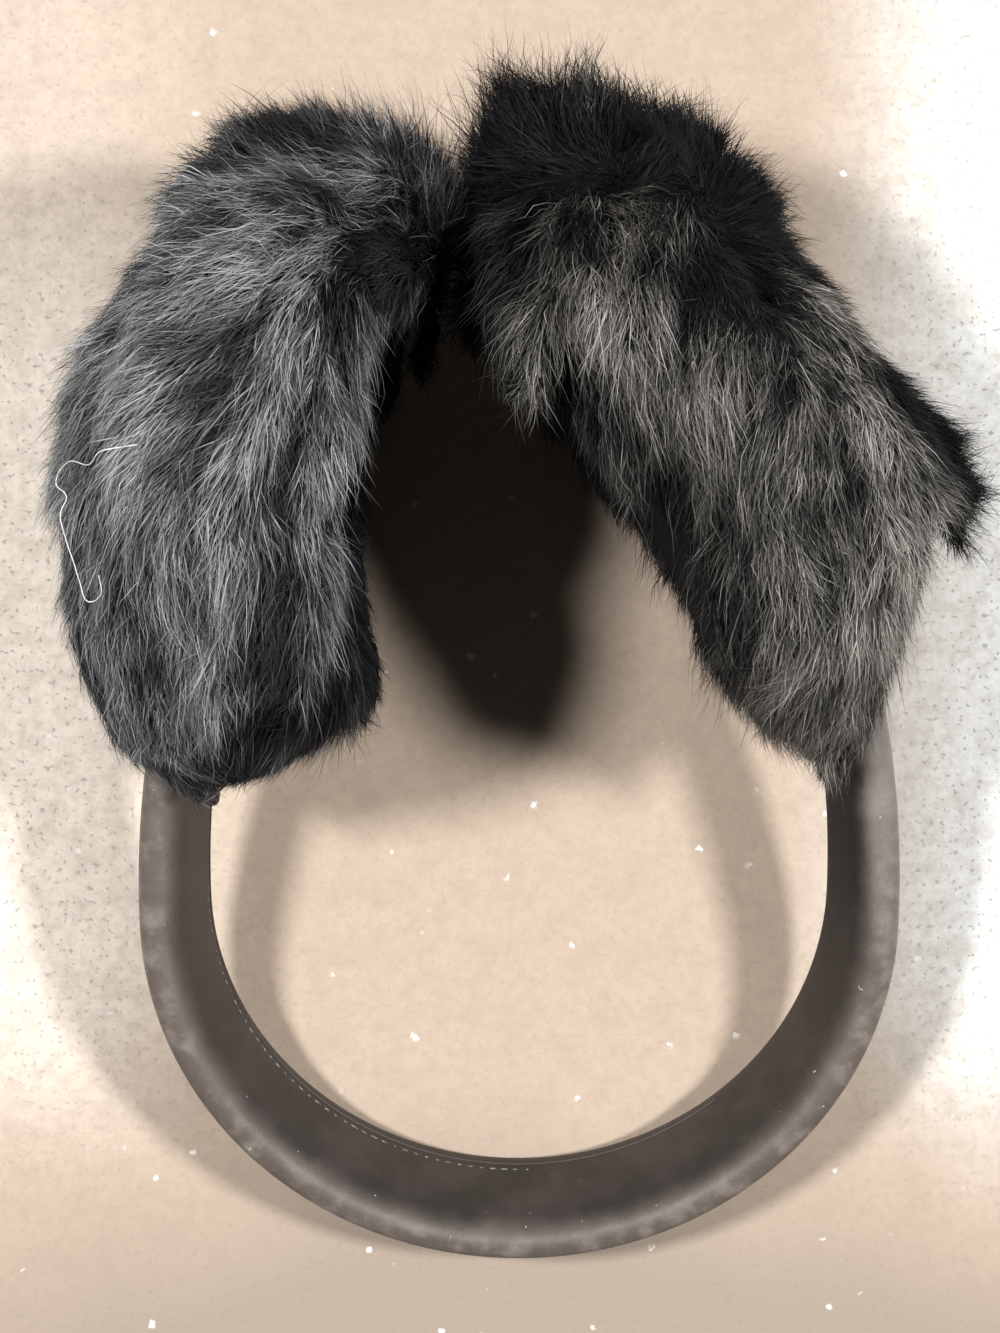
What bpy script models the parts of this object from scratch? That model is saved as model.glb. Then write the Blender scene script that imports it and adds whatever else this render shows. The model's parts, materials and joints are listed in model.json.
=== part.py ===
"""Fur earmuffs lying on their side: a padded leather headband and two deep fur ear pads.

The headband's arc lies in a plane that rises from the floor at the crown to the middle of the
pads. Each pad is a pelt stuffed to a thick disc, with its fur in locks that run from the toe,
where the pads meet, to the heel, where the headband comes out. A plush lining closes the face
that lies on the ear. Metres, +Z up, the floor at Z = 0, the crown towards -Y.
"""

import math

import bmesh
import bpy
from mathutils import Matrix, Vector

# Headband: a padded sleeve of flat oval section
BAND_WIDTH = 0.026
BAND_THICKNESS = 0.0096
BAND_ROLL = math.radians(15.0)
BAND_SQUARENESS = 2.8
BAND_SIDES = 14
BAND_TILT = math.radians(19.5)
CROWN_RADIUS = 0.070
CROWN_STEPS = 20
ARM_RADIUS = 0.220
ARM_RISE = 0.097
ARM_STEPS = 7
CROWN_PRESS = 0.0005

# Ear pads: the form that the tips of the fur reach, and the pelt under it
PAD_HALF_LENGTH = 0.068
PAD_HALF_THICKNESS = 0.031
PAD_HALF_HEIGHT = 0.064
FUR_DEPTH = 0.0065
FLOOR_PRESS = 0.0015
PELT_SEGMENTS = 20
PELT_RINGS = 14

# Locks of fur
LOCK_ROWS = 10
LOCKS_IN_WIDEST_ROW = 13
FIRST_ROW_ANGLE = math.radians(10.0)
LAST_ROW_ANGLE = math.radians(149.0)
LOCK_LENGTH = 0.032
LOCK_WIDTH = 0.024
LOCK_THICKNESS = 0.010
LOCK_ROOT_DEPTH = 0.003
LOCK_SIDES = 5
TOE_LIFT = math.radians(36.0)
HEEL_LIFT = math.radians(9.0)
LIFT_FADE = 0.8
TOE_LOCK_SHARE = 0.55
FULL_LOCK_ANGLE = math.radians(75.0)

# Plush lining on the face that lies on the ear
LINING_RADIUS = 0.034
LINING_THICKNESS = 0.006
LINING_ROUNDING = 0.0022
LINING_SIDES = 24

# How far the boxes that cut the pieces reach, as a share of the earmuffs' length
CUTTER_REACH = 1.5

# Gaps between pieces that touch
CLEARANCE = 0.0004
PARTING_GAP = 0.0008

# Where the two furs press on each other, as a share of the crown radius from the middle plane
PARTING_SHIFT_SHARE = -0.16

# One row for each section of a pad, from toe to heel.
# along, lean and thick are shares of the pad's half length, half thickness and half thickness.
LEFT_SECTIONS = (
    {"along": 1.00, "lean": -0.05, "thick": 1.60},
    {"along": 0.90, "lean": 0.00, "thick": 1.50},
    {"along": 0.40, "lean": 0.15, "thick": 1.08},
    {"along": 0.00, "lean": 0.16, "thick": 1.08},
    {"along": -0.35, "lean": 0.02, "thick": 1.20},
    {"along": -0.60, "lean": -0.10, "thick": 1.34},
    {"along": -0.82, "lean": -0.10, "thick": 1.36},
    {"along": -1.00, "lean": -0.10, "thick": 1.30},
)
RIGHT_SECTIONS = (
    {"along": 1.00, "lean": -0.50, "thick": 1.60},
    {"along": 0.90, "lean": -0.48, "thick": 1.52},
    {"along": 0.54, "lean": -0.48, "thick": 1.24},
    {"along": 0.28, "lean": -0.30, "thick": 1.12},
    {"along": -0.04, "lean": -0.16, "thick": 1.06},
    {"along": -0.38, "lean": -0.06, "thick": 1.14},
    {"along": -0.62, "lean": -0.16, "thick": 1.08},
    {"along": -0.85, "lean": -0.27, "thick": 0.90},
    {"along": -1.00, "lean": -0.30, "thick": 0.90},
)

# Tufts that stand out of a pad: where, in degrees from the toe and round the toe-to-heel line
# from its outer side over the top, how wide in degrees, and how far as a share of the fur's depth.
LEFT_TUFTS = (
    {"from_toe": 26.0, "around": 20.0, "spread": 18.0, "reach": 1.30},
    {"from_toe": 126.0, "around": 165.0, "spread": 20.0, "reach": 1.60},
)
RIGHT_TUFTS = (
    {"from_toe": 4.0, "around": 150.0, "spread": 14.0, "reach": 4.60},
    {"from_toe": 30.0, "around": 10.0, "spread": 14.0, "reach": 0.80},
    {"from_toe": 105.0, "around": 5.0, "spread": 15.0, "reach": 1.60},
)

# Each ear pad: which side it is on (-1 left, 1 right), how far its toe turns in, how far the fur's
# middle lies towards the toe as a share of its half length, the stuffing between the headband's
# end and the lining, the sections, the tufts, and how far round the rows of locks begin
PADS = {
    "left": {
        "side": -1.0,
        "toe_in": math.radians(17.5),
        "shift": 0.0,
        "stuffing": 0.0025,
        "sections": LEFT_SECTIONS,
        "tufts": LEFT_TUFTS,
        "lock_turn": 0.25,
    },
    "right": {
        "side": 1.0,
        "toe_in": math.radians(22.5),
        "shift": 0.11,
        "stuffing": 0.0125,
        "sections": RIGHT_SECTIONS,
        "tufts": RIGHT_TUFTS,
        "lock_turn": 0.60,
    },
}

FUR_COLOUR = (0.022, 0.022, 0.025, 1.0)
LEATHER_COLOUR = (0.045, 0.040, 0.040, 1.0)
PLUSH_COLOUR = (0.012, 0.012, 0.015, 1.0)


def band_profile(grow):
    """The headband's section, grow larger all round, with its upper edge rolled outwards."""
    points = oval(BAND_WIDTH + 2 * grow, BAND_THICKNESS + 2 * grow, BAND_SQUARENESS, BAND_SIDES)
    return [Matrix.Rotation(-BAND_ROLL, 3, "Z") @ point for point in points]


def crown_height():
    """Height of the headband's centreline at the crown, so that its lower edge meets the floor."""
    sine, cosine = math.sin(BAND_TILT), math.cos(BAND_TILT)
    low = max(point.y * cosine - point.x * sine for point in band_profile(0))
    return low - CROWN_PRESS


def band_plane():
    """The headband's plane: its origin is the crown, X across, Y towards the pads, Z its normal."""
    return Matrix.Translation((0, 0, crown_height())) @ Matrix.Rotation(BAND_TILT, 4, "X")


def arm_angle():
    """How far the arms have turned inwards where they end in the pads."""
    return math.asin(ARM_RISE / ARM_RADIUS)


def arm_point(side, angle):
    """A point of an arm's centreline in the band's plane, a turn of angle above the widest place."""
    across = CROWN_RADIUS - ARM_RADIUS * (1 - math.cos(angle))
    return Vector((side * across, CROWN_RADIUS + ARM_RADIUS * math.sin(angle), 0))


def band_route(past_end):
    """The centreline from the left arm's end round the crown to the right one's, past_end longer."""
    last = arm_angle() + past_end / ARM_RADIUS
    left = [arm_point(-1, last * (1 - i / ARM_STEPS)) for i in range(ARM_STEPS)]
    crown = []
    for i in range(CROWN_STEPS + 1):
        turn = math.pi * (1 + i / CROWN_STEPS)
        crown.append(
            Vector((CROWN_RADIUS * math.cos(turn), CROWN_RADIUS * (1 + math.sin(turn)), 0))
        )
    right = [arm_point(1, last * (i + 1) / ARM_STEPS) for i in range(ARM_STEPS)]
    return left + crown + right


def oval(width, thickness, squareness, sides):
    """Points of a flat oval that is a little squarer than an ellipse, thickness along X."""
    points = []
    for i in range(sides):
        turn = 2 * math.pi * i / sides
        c, s = math.cos(turn), math.sin(turn)
        radius = (abs(c) ** squareness + abs(s) ** squareness) ** (-1 / squareness)
        points.append(Vector((thickness / 2 * radius * c, width / 2 * radius * s, 0)))
    return points


def pad_centre(pad):
    """Where a headband arm ends, which is the middle of the ear pad."""
    return band_plane() @ arm_point(pad["side"], arm_angle())


def pad_frame(pad):
    """A pad's frame: X points away from the ear, Y from heel to toe, Z up."""
    side, turn = pad["side"], pad["toe_in"]
    away = Vector((side * math.cos(turn), math.sin(turn), 0))
    toe = Vector((-side * math.sin(turn), math.cos(turn), 0))
    frame = Matrix.Translation(pad_centre(pad))
    frame[0][:3] = away.x, toe.x, 0
    frame[1][:3] = away.y, toe.y, 0
    return frame


def read_table(rows, column, key, at):
    """The value of a column at a place between the rows, eased so that it has no corners there."""
    rows = sorted(rows, key=lambda row: row[key])
    at = min(max(at, rows[0][key]), rows[-1][key])
    for low, high in zip(rows, rows[1:]):
        if at <= high[key]:
            share = (at - low[key]) / (high[key] - low[key])
            share = share * share * (3 - 2 * share)
            return low[column] + (high[column] - low[column]) * share
    return rows[-1][column]


def tuft_reach(pad, from_toe, around):
    """How far the tufts push the fur's form outwards at a place."""
    here = direction(from_toe, around)
    reach = 0.0
    for tuft in pad["tufts"]:
        there = direction(math.radians(tuft["from_toe"]), math.radians(tuft["around"]))
        away = math.acos(max(-1.0, min(1.0, here.dot(there)))) / math.radians(tuft["spread"])
        reach += tuft["reach"] * math.exp(-away * away)
    return FUR_DEPTH * reach


def direction(from_toe, around):
    """The unit direction at an angle from the toe and round the toe-to-heel line."""
    ring = math.sin(from_toe)
    return Vector((ring * math.cos(around), math.cos(from_toe), ring * math.sin(around)))


def fur_point(pad, from_toe, around, depth):
    """A point of the fur's form in the pad's frame, depth inside the surface of the tips."""
    along = math.cos(from_toe)
    lean = read_table(pad["sections"], "lean", "along", along) * PAD_HALF_THICKNESS
    thick = read_table(pad["sections"], "thick", "along", along) * PAD_HALF_THICKNESS
    grow = tuft_reach(pad, from_toe, around) * (1 - 0.5 * depth / FUR_DEPTH) - depth
    way = direction(from_toe, around)
    below = floor_reach(pad) if way.z < 0 else PAD_HALF_HEIGHT
    return Vector(
        (
            lean + (thick + grow) * way.x,
            pad["shift"] * PAD_HALF_LENGTH + (PAD_HALF_LENGTH + grow) * way.y,
            (below + grow) * way.z,
        )
    )


def floor_reach(pad):
    """How far the fur's form reaches down from the pad's middle, so that its pelt meets the floor."""
    return pad_centre(pad).z + FLOOR_PRESS + FUR_DEPTH


def pelt(pad, name):
    """The stuffed pelt: a UV sphere with its poles at toe and heel, moved onto the pad's form."""
    bm = bmesh.new()
    bmesh.ops.create_uvsphere(bm, u_segments=PELT_SEGMENTS, v_segments=PELT_RINGS, radius=1)
    for vertex in bm.verts:
        from_toe = math.acos(max(-1.0, min(1.0, vertex.co.z)))
        around = math.atan2(vertex.co.y, vertex.co.x)
        vertex.co = fur_point(pad, from_toe, around, FUR_DEPTH)
    return mesh_object(name, bm, pad_frame(pad))


def mesh_object(name, bm, matrix):
    """Makes an object of a closed bmesh moved by a matrix, which may mirror it; frees the bmesh."""
    bmesh.ops.transform(bm, matrix=matrix, verts=bm.verts)
    bmesh.ops.recalc_face_normals(bm, faces=bm.faces)
    mesh = bpy.data.meshes.new(name)
    bm.to_mesh(mesh)
    bm.free()
    return bpy.data.objects.new(name, mesh)


def loft(rings, tip):
    """A closed bmesh through rings of points, capped at the first ring and pointed at the last."""
    bm = bmesh.new()
    made = [[bm.verts.new(point) for point in ring] for ring in rings]
    sides = len(made[0])
    bm.faces.new(reversed(made[0]))
    for ring, after in zip(made, made[1:]):
        for i in range(sides):
            j = (i + 1) % sides
            bm.faces.new((ring[i], ring[j], after[j], after[i]))
    point = bm.verts.new(tip)
    for i in range(sides):
        bm.faces.new((made[-1][i], made[-1][(i + 1) % sides], point))
    bmesh.ops.recalc_face_normals(bm, faces=bm.faces)
    return bm


def lock_mesh():
    """One lock of fur: a flat curved strip along +Y, its back towards +Z, that ends in a point."""
    rows = (
        {"along": 0.00, "size": 0.80},
        {"along": 0.35, "size": 1.00},
        {"along": 0.72, "size": 0.62},
    )
    droop = LOCK_LENGTH / 5
    rings = []
    for row in rows:
        middle = Vector((0, LOCK_LENGTH * row["along"], -droop * row["along"] ** 2))
        ring = oval(LOCK_THICKNESS, LOCK_WIDTH, 2.0, LOCK_SIDES)
        rings.append(
            [middle + Vector((p.x * row["size"], 0, p.y * row["size"])) for p in ring]
        )
    bm = loft(rings, Vector((0, LOCK_LENGTH, -droop)))
    mesh = bpy.data.meshes.new("lock_of_fur")
    bm.to_mesh(mesh)
    bm.free()
    return mesh


def lock_place(pad, from_toe, around):
    """The frame of a lock: its root in the pelt, combed towards the heel and lifted off the pelt."""
    step = math.radians(1.0)
    root = fur_point(pad, from_toe, around, FUR_DEPTH + LOCK_ROOT_DEPTH)
    here = fur_point(pad, from_toe, around, FUR_DEPTH)
    to_heel = (fur_point(pad, from_toe + step, around, FUR_DEPTH) - here).normalized()
    sideways = (fur_point(pad, from_toe, around + step, FUR_DEPTH) - here).normalized()
    outward = sideways.cross(to_heel).normalized()
    if outward.dot(direction(from_toe, around)) < 0:
        outward.negate()
    ease = (from_toe / math.pi) ** LIFT_FADE
    lift = TOE_LIFT + (HEEL_LIFT - TOE_LIFT) * ease
    forward = to_heel * math.cos(lift) + outward * math.sin(lift)
    across = forward.cross(outward).normalized()
    back = across.cross(forward).normalized()
    size = TOE_LOCK_SHARE + (1 - TOE_LOCK_SHARE) * min(1.0, from_toe / FULL_LOCK_ANGLE)
    frame = Matrix.Translation(root)
    for i in range(3):
        frame[i][:3] = across[i] * size, forward[i] * size, back[i] * size
    return frame


def over_lining(place):
    """Whether a lock, placed in its pad's frame, has its root or its tip over the plush lining."""
    for along, margin in ((0.0, LOCK_WIDTH / 3), (0.5, 0.0), (1.0, 0.0)):
        point = place @ Vector((0, LOCK_LENGTH * along, 0))
        if point.x < 0 and math.hypot(point.y, point.z) < LINING_RADIUS + margin:
            return True
    return False


def under_floor(pad, place):
    """Whether a lock, placed in its pad's frame, has its root near the floor or under it."""
    return place.translation.z + pad_centre(pad).z < FUR_DEPTH


def locks(pad, name, shared, collection):
    """Rows of locks from toe to heel, each row turned half a lock from the one before."""
    count = 0
    for row in range(LOCK_ROWS):
        share = row / (LOCK_ROWS - 1)
        from_toe = FIRST_ROW_ANGLE + (LAST_ROW_ANGLE - FIRST_ROW_ANGLE) * share
        in_row = max(4, round(LOCKS_IN_WIDEST_ROW * math.sin(from_toe)))
        for i in range(in_row):
            around = 2 * math.pi * (i + 0.5 * (row % 2) + pad["lock_turn"]) / in_row
            place = lock_place(pad, from_toe, around)
            if over_lining(place) or under_floor(pad, place):
                continue
            count += 1
            lock = bpy.data.objects.new(f"{name}_lock_{count:03d}", shared)
            lock.matrix_world = pad_frame(pad) @ place
            hide(lock)
            collection.objects.link(lock)


def hide(made):
    """Marks a cutter or a helper, which isn't a piece of the earmuffs."""
    made.hide_render = True
    made.display_type = "WIRE"


def band_solid(name, grow):
    """The headband as a mesh: an oval profile along its route, grow larger all round."""
    profile = bpy.data.curves.new(name + "_profile", "CURVE")
    profile.dimensions = "2D"
    fill_spline(profile, band_profile(grow), True)
    profile_object = bpy.data.objects.new(name + "_profile", profile)
    hide(profile_object)
    helpers().objects.link(profile_object)
    route = bpy.data.curves.new(name + "_route", "CURVE")
    route.dimensions = "2D"
    route.fill_mode = "NONE"
    fill_spline(route, band_route(grow), False)
    route.bevel_mode = "OBJECT"
    route.bevel_object = profile_object
    route.use_fill_caps = True
    guide = bpy.data.objects.new(name + "_route", route)
    guide.matrix_world = band_plane()
    bpy.context.scene.collection.objects.link(guide)
    bpy.context.view_layer.update()
    mesh = bpy.data.meshes.new_from_object(
        guide.evaluated_get(bpy.context.evaluated_depsgraph_get())
    )
    bm = bmesh.new()
    bm.from_mesh(mesh)
    bmesh.ops.remove_doubles(bm, verts=bm.verts, dist=0.00001)
    bmesh.ops.recalc_face_normals(bm, faces=bm.faces)
    made = mesh_object(name, bm, band_plane())
    bpy.data.objects.remove(guide)
    bpy.data.objects.remove(profile_object)
    return made


def fill_spline(curve, points, closed):
    """Gives a curve one straight-sided spline through points."""
    spline = curve.splines.new("POLY")
    spline.points.add(len(points) - 1)
    for target, point in zip(spline.points, points):
        target.co = (*point, 1)
    spline.use_cyclic_u = closed


def lining_solid(pad, name, grow, depth):
    """The plush lining: a disc, grow wider all round and depth thick, over the band's end."""
    bm = bmesh.new()
    bmesh.ops.create_cone(
        bm,
        cap_ends=True,
        segments=LINING_SIDES,
        radius1=LINING_RADIUS + grow,
        radius2=LINING_RADIUS + grow,
        depth=depth,
    )
    turn = Matrix.Rotation(-math.pi / 2, 4, "Y")
    band_edge = max(point.x for point in band_profile(0))
    back = grow - band_edge - pad["stuffing"]
    place = Matrix.Translation((back - depth / 2, 0, 0))
    bmesh.ops.transform(bm, matrix=place @ turn, verts=bm.verts)
    bmesh.ops.recalc_face_normals(bm, faces=bm.faces)
    return mesh_object(name, bm, pad_frame(pad))


def box(name, low, high):
    """A plain box between two corners."""
    bm = bmesh.new()
    bmesh.ops.create_cube(bm, size=1)
    size = Vector(high) - Vector(low)
    bmesh.ops.scale(bm, vec=size, verts=bm.verts)
    bmesh.ops.translate(bm, vec=(Vector(high) + Vector(low)) / 2, verts=bm.verts)
    return mesh_object(name, bm, Matrix.Identity(4))


def helpers():
    """The collection of cutters and guides, made at its first use."""
    found = bpy.data.collections.get("cutters")
    if found is None:
        found = bpy.data.collections.new("cutters")
        bpy.context.scene.collection.children.link(found)
    return found


def fuse(target):
    """Applies a piece's Booleans and keeps the outer shell, so no pocket is left between locks."""
    bpy.context.view_layer.update()
    mesh = bpy.data.meshes.new_from_object(
        target.evaluated_get(bpy.context.evaluated_depsgraph_get())
    )
    target.modifiers.clear()
    bm = bmesh.new()
    bm.from_mesh(mesh)
    left = set(bm.faces)
    shells = []
    while left:
        shell = {left.pop()}
        edge_of_search = list(shell)
        while edge_of_search:
            face = edge_of_search.pop()
            beside = {other for edge in face.edges for other in edge.link_faces} & left
            left -= beside
            shell |= beside
            edge_of_search.extend(beside)
        shells.append(shell)
    outer = max(shells, key=len)
    inner = [face for shell in shells if shell is not outer for face in shell]
    bmesh.ops.delete(bm, geom=inner, context="FACES")
    bm.to_mesh(target.data)
    bm.free()


def boolean(target, operation, operand, name):
    """Adds a Boolean modifier that takes an object or a whole collection."""
    modifier = target.modifiers.new(name, "BOOLEAN")
    modifier.operation = operation
    modifier.solver = "EXACT"
    if isinstance(operand, bpy.types.Collection):
        modifier.operand_type = "COLLECTION"
        modifier.collection = operand
    else:
        modifier.object = operand
    return modifier


def finish_material(name, colour, roughness):
    """A Principled material for a piece."""
    material = bpy.data.materials.new(name)
    material.use_nodes = True
    shader = material.node_tree.nodes["Principled BSDF"]
    shader.inputs["Base Color"].default_value = colour
    shader.inputs["Roughness"].default_value = roughness
    shader.inputs["Metallic"].default_value = 0.0
    return material


def build():
    """Builds the headband, the two furs and the two linings, and centres them on the floor."""
    for old in list(bpy.data.objects):
        bpy.data.objects.remove(old)
    pieces = bpy.data.collections.new("fur_earmuffs")
    bpy.context.scene.collection.children.link(pieces)
    fur = finish_material("fur", FUR_COLOUR, 0.75)
    leather = finish_material("leather", LEATHER_COLOUR, 0.5)
    plush = finish_material("plush", PLUSH_COLOUR, 0.95)

    far = CUTTER_REACH * (CROWN_RADIUS + ARM_RISE + PAD_HALF_LENGTH)
    floor = box("floor_cutter", (-far, -far, -far), (far, far, 0))
    slot = band_solid("band_slot_cutter", CLEARANCE)
    for cutter in (floor, slot):
        hide(cutter)
        helpers().objects.link(cutter)

    band = band_solid("headband", 0)
    band.data.materials.append(leather)
    pieces.objects.link(band)
    boolean(band, "DIFFERENCE", floor, "floor")
    fuse(band)

    shared = lock_mesh()
    parting = CROWN_RADIUS * PARTING_SHIFT_SHARE
    for name, pad in PADS.items():
        side = pad["side"]
        body = pelt(pad, name + "_fur")
        body.data.materials.append(fur)
        pieces.objects.link(body)
        own_locks = bpy.data.collections.new(name + "_locks")
        helpers().children.link(own_locks)
        locks(pad, name, shared, own_locks)
        boolean(body, "UNION", own_locks, "locks")

        own_cutters = bpy.data.collections.new(name + "_cutters")
        helpers().children.link(own_cutters)
        pocket = lining_solid(pad, name + "_pocket", CLEARANCE, 2 * PAD_HALF_THICKNESS)
        near, beyond = sorted((parting + side * PARTING_GAP / 2, -side * far))
        other = box(name + "_parting", (near, -far, -far), (beyond, far, far))
        for cutter in (pocket, other):
            hide(cutter)
            own_cutters.objects.link(cutter)
        own_cutters.objects.link(floor)
        own_cutters.objects.link(slot)
        boolean(body, "DIFFERENCE", own_cutters, "cuts")
        fuse(body)

        lining = lining_solid(pad, name + "_ear_lining", 0, LINING_THICKNESS)
        lining.data.materials.append(plush)
        pieces.objects.link(lining)
        rounding = lining.modifiers.new("rounding", "BEVEL")
        rounding.width = LINING_ROUNDING
        rounding.segments = 2
        rounding.limit_method = "ANGLE"

    points = [Vector(corner) for piece in pieces.objects for corner in piece.bound_box]
    middle_x = (min(p.x for p in points) + max(p.x for p in points)) / 2
    middle_y = (min(p.y for p in points) + max(p.y for p in points)) / 2
    for piece in pieces.objects:
        piece.data.transform(Matrix.Translation((-middle_x, -middle_y, 0)))


build()
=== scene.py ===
"""Looks of the fur earmuffs: a leather headband, two long-haired ear pads and their plush linings.

Every piece is placed in the row frame, in metres: the floor at Z = 0, the crown of the headband
towards -Y and the toes of the pads, where they meet, towards +Y.
"""

import json
import logging
import math
from dataclasses import dataclass, field
from enum import Enum

import bmesh
import bpy
import numpy as np
from mathutils import Euler, Matrix, Vector, noise
from mathutils.bvhtree import BVHTree
from mathutils.kdtree import KDTree

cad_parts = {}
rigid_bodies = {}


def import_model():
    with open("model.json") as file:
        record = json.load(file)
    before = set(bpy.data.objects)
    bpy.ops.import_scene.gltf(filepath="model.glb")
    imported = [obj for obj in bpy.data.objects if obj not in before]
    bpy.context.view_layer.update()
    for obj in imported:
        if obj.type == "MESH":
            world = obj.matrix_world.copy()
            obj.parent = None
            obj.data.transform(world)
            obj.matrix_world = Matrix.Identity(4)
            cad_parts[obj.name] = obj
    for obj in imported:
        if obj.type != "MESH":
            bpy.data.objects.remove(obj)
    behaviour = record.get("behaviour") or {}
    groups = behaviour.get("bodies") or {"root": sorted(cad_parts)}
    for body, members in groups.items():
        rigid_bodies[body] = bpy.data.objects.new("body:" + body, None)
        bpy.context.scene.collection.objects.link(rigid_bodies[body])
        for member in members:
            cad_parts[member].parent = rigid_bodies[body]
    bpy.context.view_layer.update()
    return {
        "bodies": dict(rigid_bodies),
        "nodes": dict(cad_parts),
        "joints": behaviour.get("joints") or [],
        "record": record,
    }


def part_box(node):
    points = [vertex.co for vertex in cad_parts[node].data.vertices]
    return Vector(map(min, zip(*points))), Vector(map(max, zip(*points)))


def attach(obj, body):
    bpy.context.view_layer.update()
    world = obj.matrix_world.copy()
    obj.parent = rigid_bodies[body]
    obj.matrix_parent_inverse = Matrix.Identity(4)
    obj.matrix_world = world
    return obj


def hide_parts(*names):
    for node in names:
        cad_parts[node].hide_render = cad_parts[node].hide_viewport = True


LOG = logging.getLogger("fur_earmuffs")
MM = 0.001
BAKE_MAP = "OFBake"
COLUMNS = 256
FLOOR_GAP = 0.0002
HAIR_FLOOR_GAP = 0.0004


class Side(Enum):
    """The two sides of the earmuffs, seen from above with the toes away from the viewer."""

    LEFT = "left"
    RIGHT = "right"


class Wire:
    """A socket that takes part in Python expressions; each operator adds a Math node."""

    def __init__(self, bench: "Bench", socket: bpy.types.NodeSocket) -> None:
        """Holds a socket.

        Args:
            bench: The bench of the tree that the socket is in.
            socket: An output socket.
        """
        self.bench = bench
        self.socket = socket

    def _math(self, operation: str, *values: object) -> "Wire":
        """Adds a Math node and returns its result."""
        inputs = dict(enumerate(values))
        return self.bench.add("ShaderNodeMath", {"operation": operation}, inputs).wire("Value")

    def __add__(self, other: object) -> "Wire":
        """This plus other."""
        return self._math("ADD", self, other)

    __radd__ = __add__

    def __sub__(self, other: object) -> "Wire":
        """This less other."""
        return self._math("SUBTRACT", self, other)

    def __rsub__(self, other: object) -> "Wire":
        """Other less this."""
        return self._math("SUBTRACT", other, self)

    def __mul__(self, other: object) -> "Wire":
        """This times other."""
        return self._math("MULTIPLY", self, other)

    __rmul__ = __mul__

    def __truediv__(self, other: object) -> "Wire":
        """This divided by other."""
        return self._math("DIVIDE", self, other)

    def __rtruediv__(self, other: object) -> "Wire":
        """Other divided by this."""
        return self._math("DIVIDE", other, self)

    def __pow__(self, other: object) -> "Wire":
        """This raised to a power."""
        return self._math("POWER", self, other)

    def sine(self) -> "Wire":
        """The sine of this, in radians."""
        return self._math("SINE", self)

    def cosine(self) -> "Wire":
        """The cosine of this, in radians."""
        return self._math("COSINE", self)

    def size(self) -> "Wire":
        """This without its sign."""
        return self._math("ABSOLUTE", self)

    def floor(self) -> "Wire":
        """The whole number at or below this."""
        return self._math("FLOOR", self)

    def at_least(self, low: object) -> "Wire":
        """The larger of this and low."""
        return self._math("MAXIMUM", self, low)

    def at_most(self, high: object) -> "Wire":
        """The smaller of this and high."""
        return self._math("MINIMUM", self, high)

    def ramp(self, low: float, high: float) -> "Wire":
        """0 below low, 1 above high, and smooth between.

        Args:
            low: The value of this that gives 0.
            high: The value of this that gives 1.

        Returns:
            A value from 0 to 1.
        """
        settings = {"interpolation_type": "SMOOTHSTEP"}
        inputs = {"Value": self, "From Min": low, "From Max": high}
        return self.bench.add("ShaderNodeMapRange", settings, inputs).wire("Result")


class Made:
    """A node on a bench, with its outputs by name."""

    def __init__(self, bench: "Bench", node: bpy.types.Node) -> None:
        """Holds a node.

        Args:
            bench: The bench that the node is on.
            node: The node.
        """
        self.bench = bench
        self.node = node

    def wire(self, name: str) -> Wire:
        """The output that is in use under a name."""
        found = [s for s in self.node.outputs if s.name == name and s.enabled]
        return Wire(self.bench, found[0])


class Bench:
    """Adds and links nodes in one shader or Geometry Nodes tree."""

    def __init__(self, tree: bpy.types.NodeTree) -> None:
        """Holds a tree.

        Args:
            tree: The node tree to work in.
        """
        self.tree = tree

    def add(self, kind: str, settings: dict | None = None, inputs: dict | None = None) -> Made:
        """Adds a node, sets it and joins its sockets.

        Args:
            kind: The node's type.
            settings: Properties that are set before the sockets.
            inputs: A value or a Wire for each input, by name or by place.

        Returns:
            The node.
        """
        node = self.tree.nodes.new(kind)
        for key, value in (settings or {}).items():
            if key == "stops":
                self._stops(node, value)
            else:
                setattr(node, key, value)
        for key, value in (inputs or {}).items():
            if isinstance(key, int):
                socket = node.inputs[key]
            else:
                socket = [s for s in node.inputs if s.name == key and s.enabled][0]
            self.join(value, socket)
        return Made(self, node)

    def join(self, value: object, socket: bpy.types.NodeSocket) -> None:
        """Links a Wire to a socket, or sets the socket to a value."""
        if isinstance(value, Wire):
            self.tree.links.new(value.socket, socket)
        else:
            socket.default_value = value

    @staticmethod
    def _stops(node: bpy.types.Node, stops: tuple) -> None:
        """Gives a colour ramp its stops of place and colour."""
        ramp = node.color_ramp
        while len(ramp.elements) > 1:
            ramp.elements.remove(ramp.elements[-1])
        for number, (place, colour) in enumerate(stops):
            element = ramp.elements[0] if number == 0 else ramp.elements.new(place)
            element.position = place
            element.color = colour

    def vector(self, operation: str, **inputs: object) -> Wire:
        """A Vector Math node's result, with its inputs named a, b and scale."""
        places = {"a": 0, "b": 1, "scale": "Scale"}
        made = self.add(
            "ShaderNodeVectorMath",
            {"operation": operation},
            {places[key]: value for key, value in inputs.items()},
        )
        numbers = ("DOT_PRODUCT", "LENGTH", "DISTANCE")
        return made.wire("Value" if operation in numbers else "Vector")

    def blend(self, share: object, first: object, second: object) -> Wire:
        """Mixes two colours.

        Args:
            share: How much of the second, from 0 to 1.
            first: The first colour.
            second: The second colour.

        Returns:
            The mixed colour.
        """
        inputs = {"Factor": share, "A": first, "B": second}
        return self.add("ShaderNodeMix", {"data_type": "RGBA"}, inputs).wire("Result")

    def noise(self, place: object, scale: float, detail: float = 3.0, rough: float = 0.5) -> Made:
        """A noise texture at a place."""
        inputs = {"Vector": place, "Scale": scale, "Detail": detail, "Roughness": rough}
        return self.add("ShaderNodeTexNoise", None, inputs)


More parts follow.
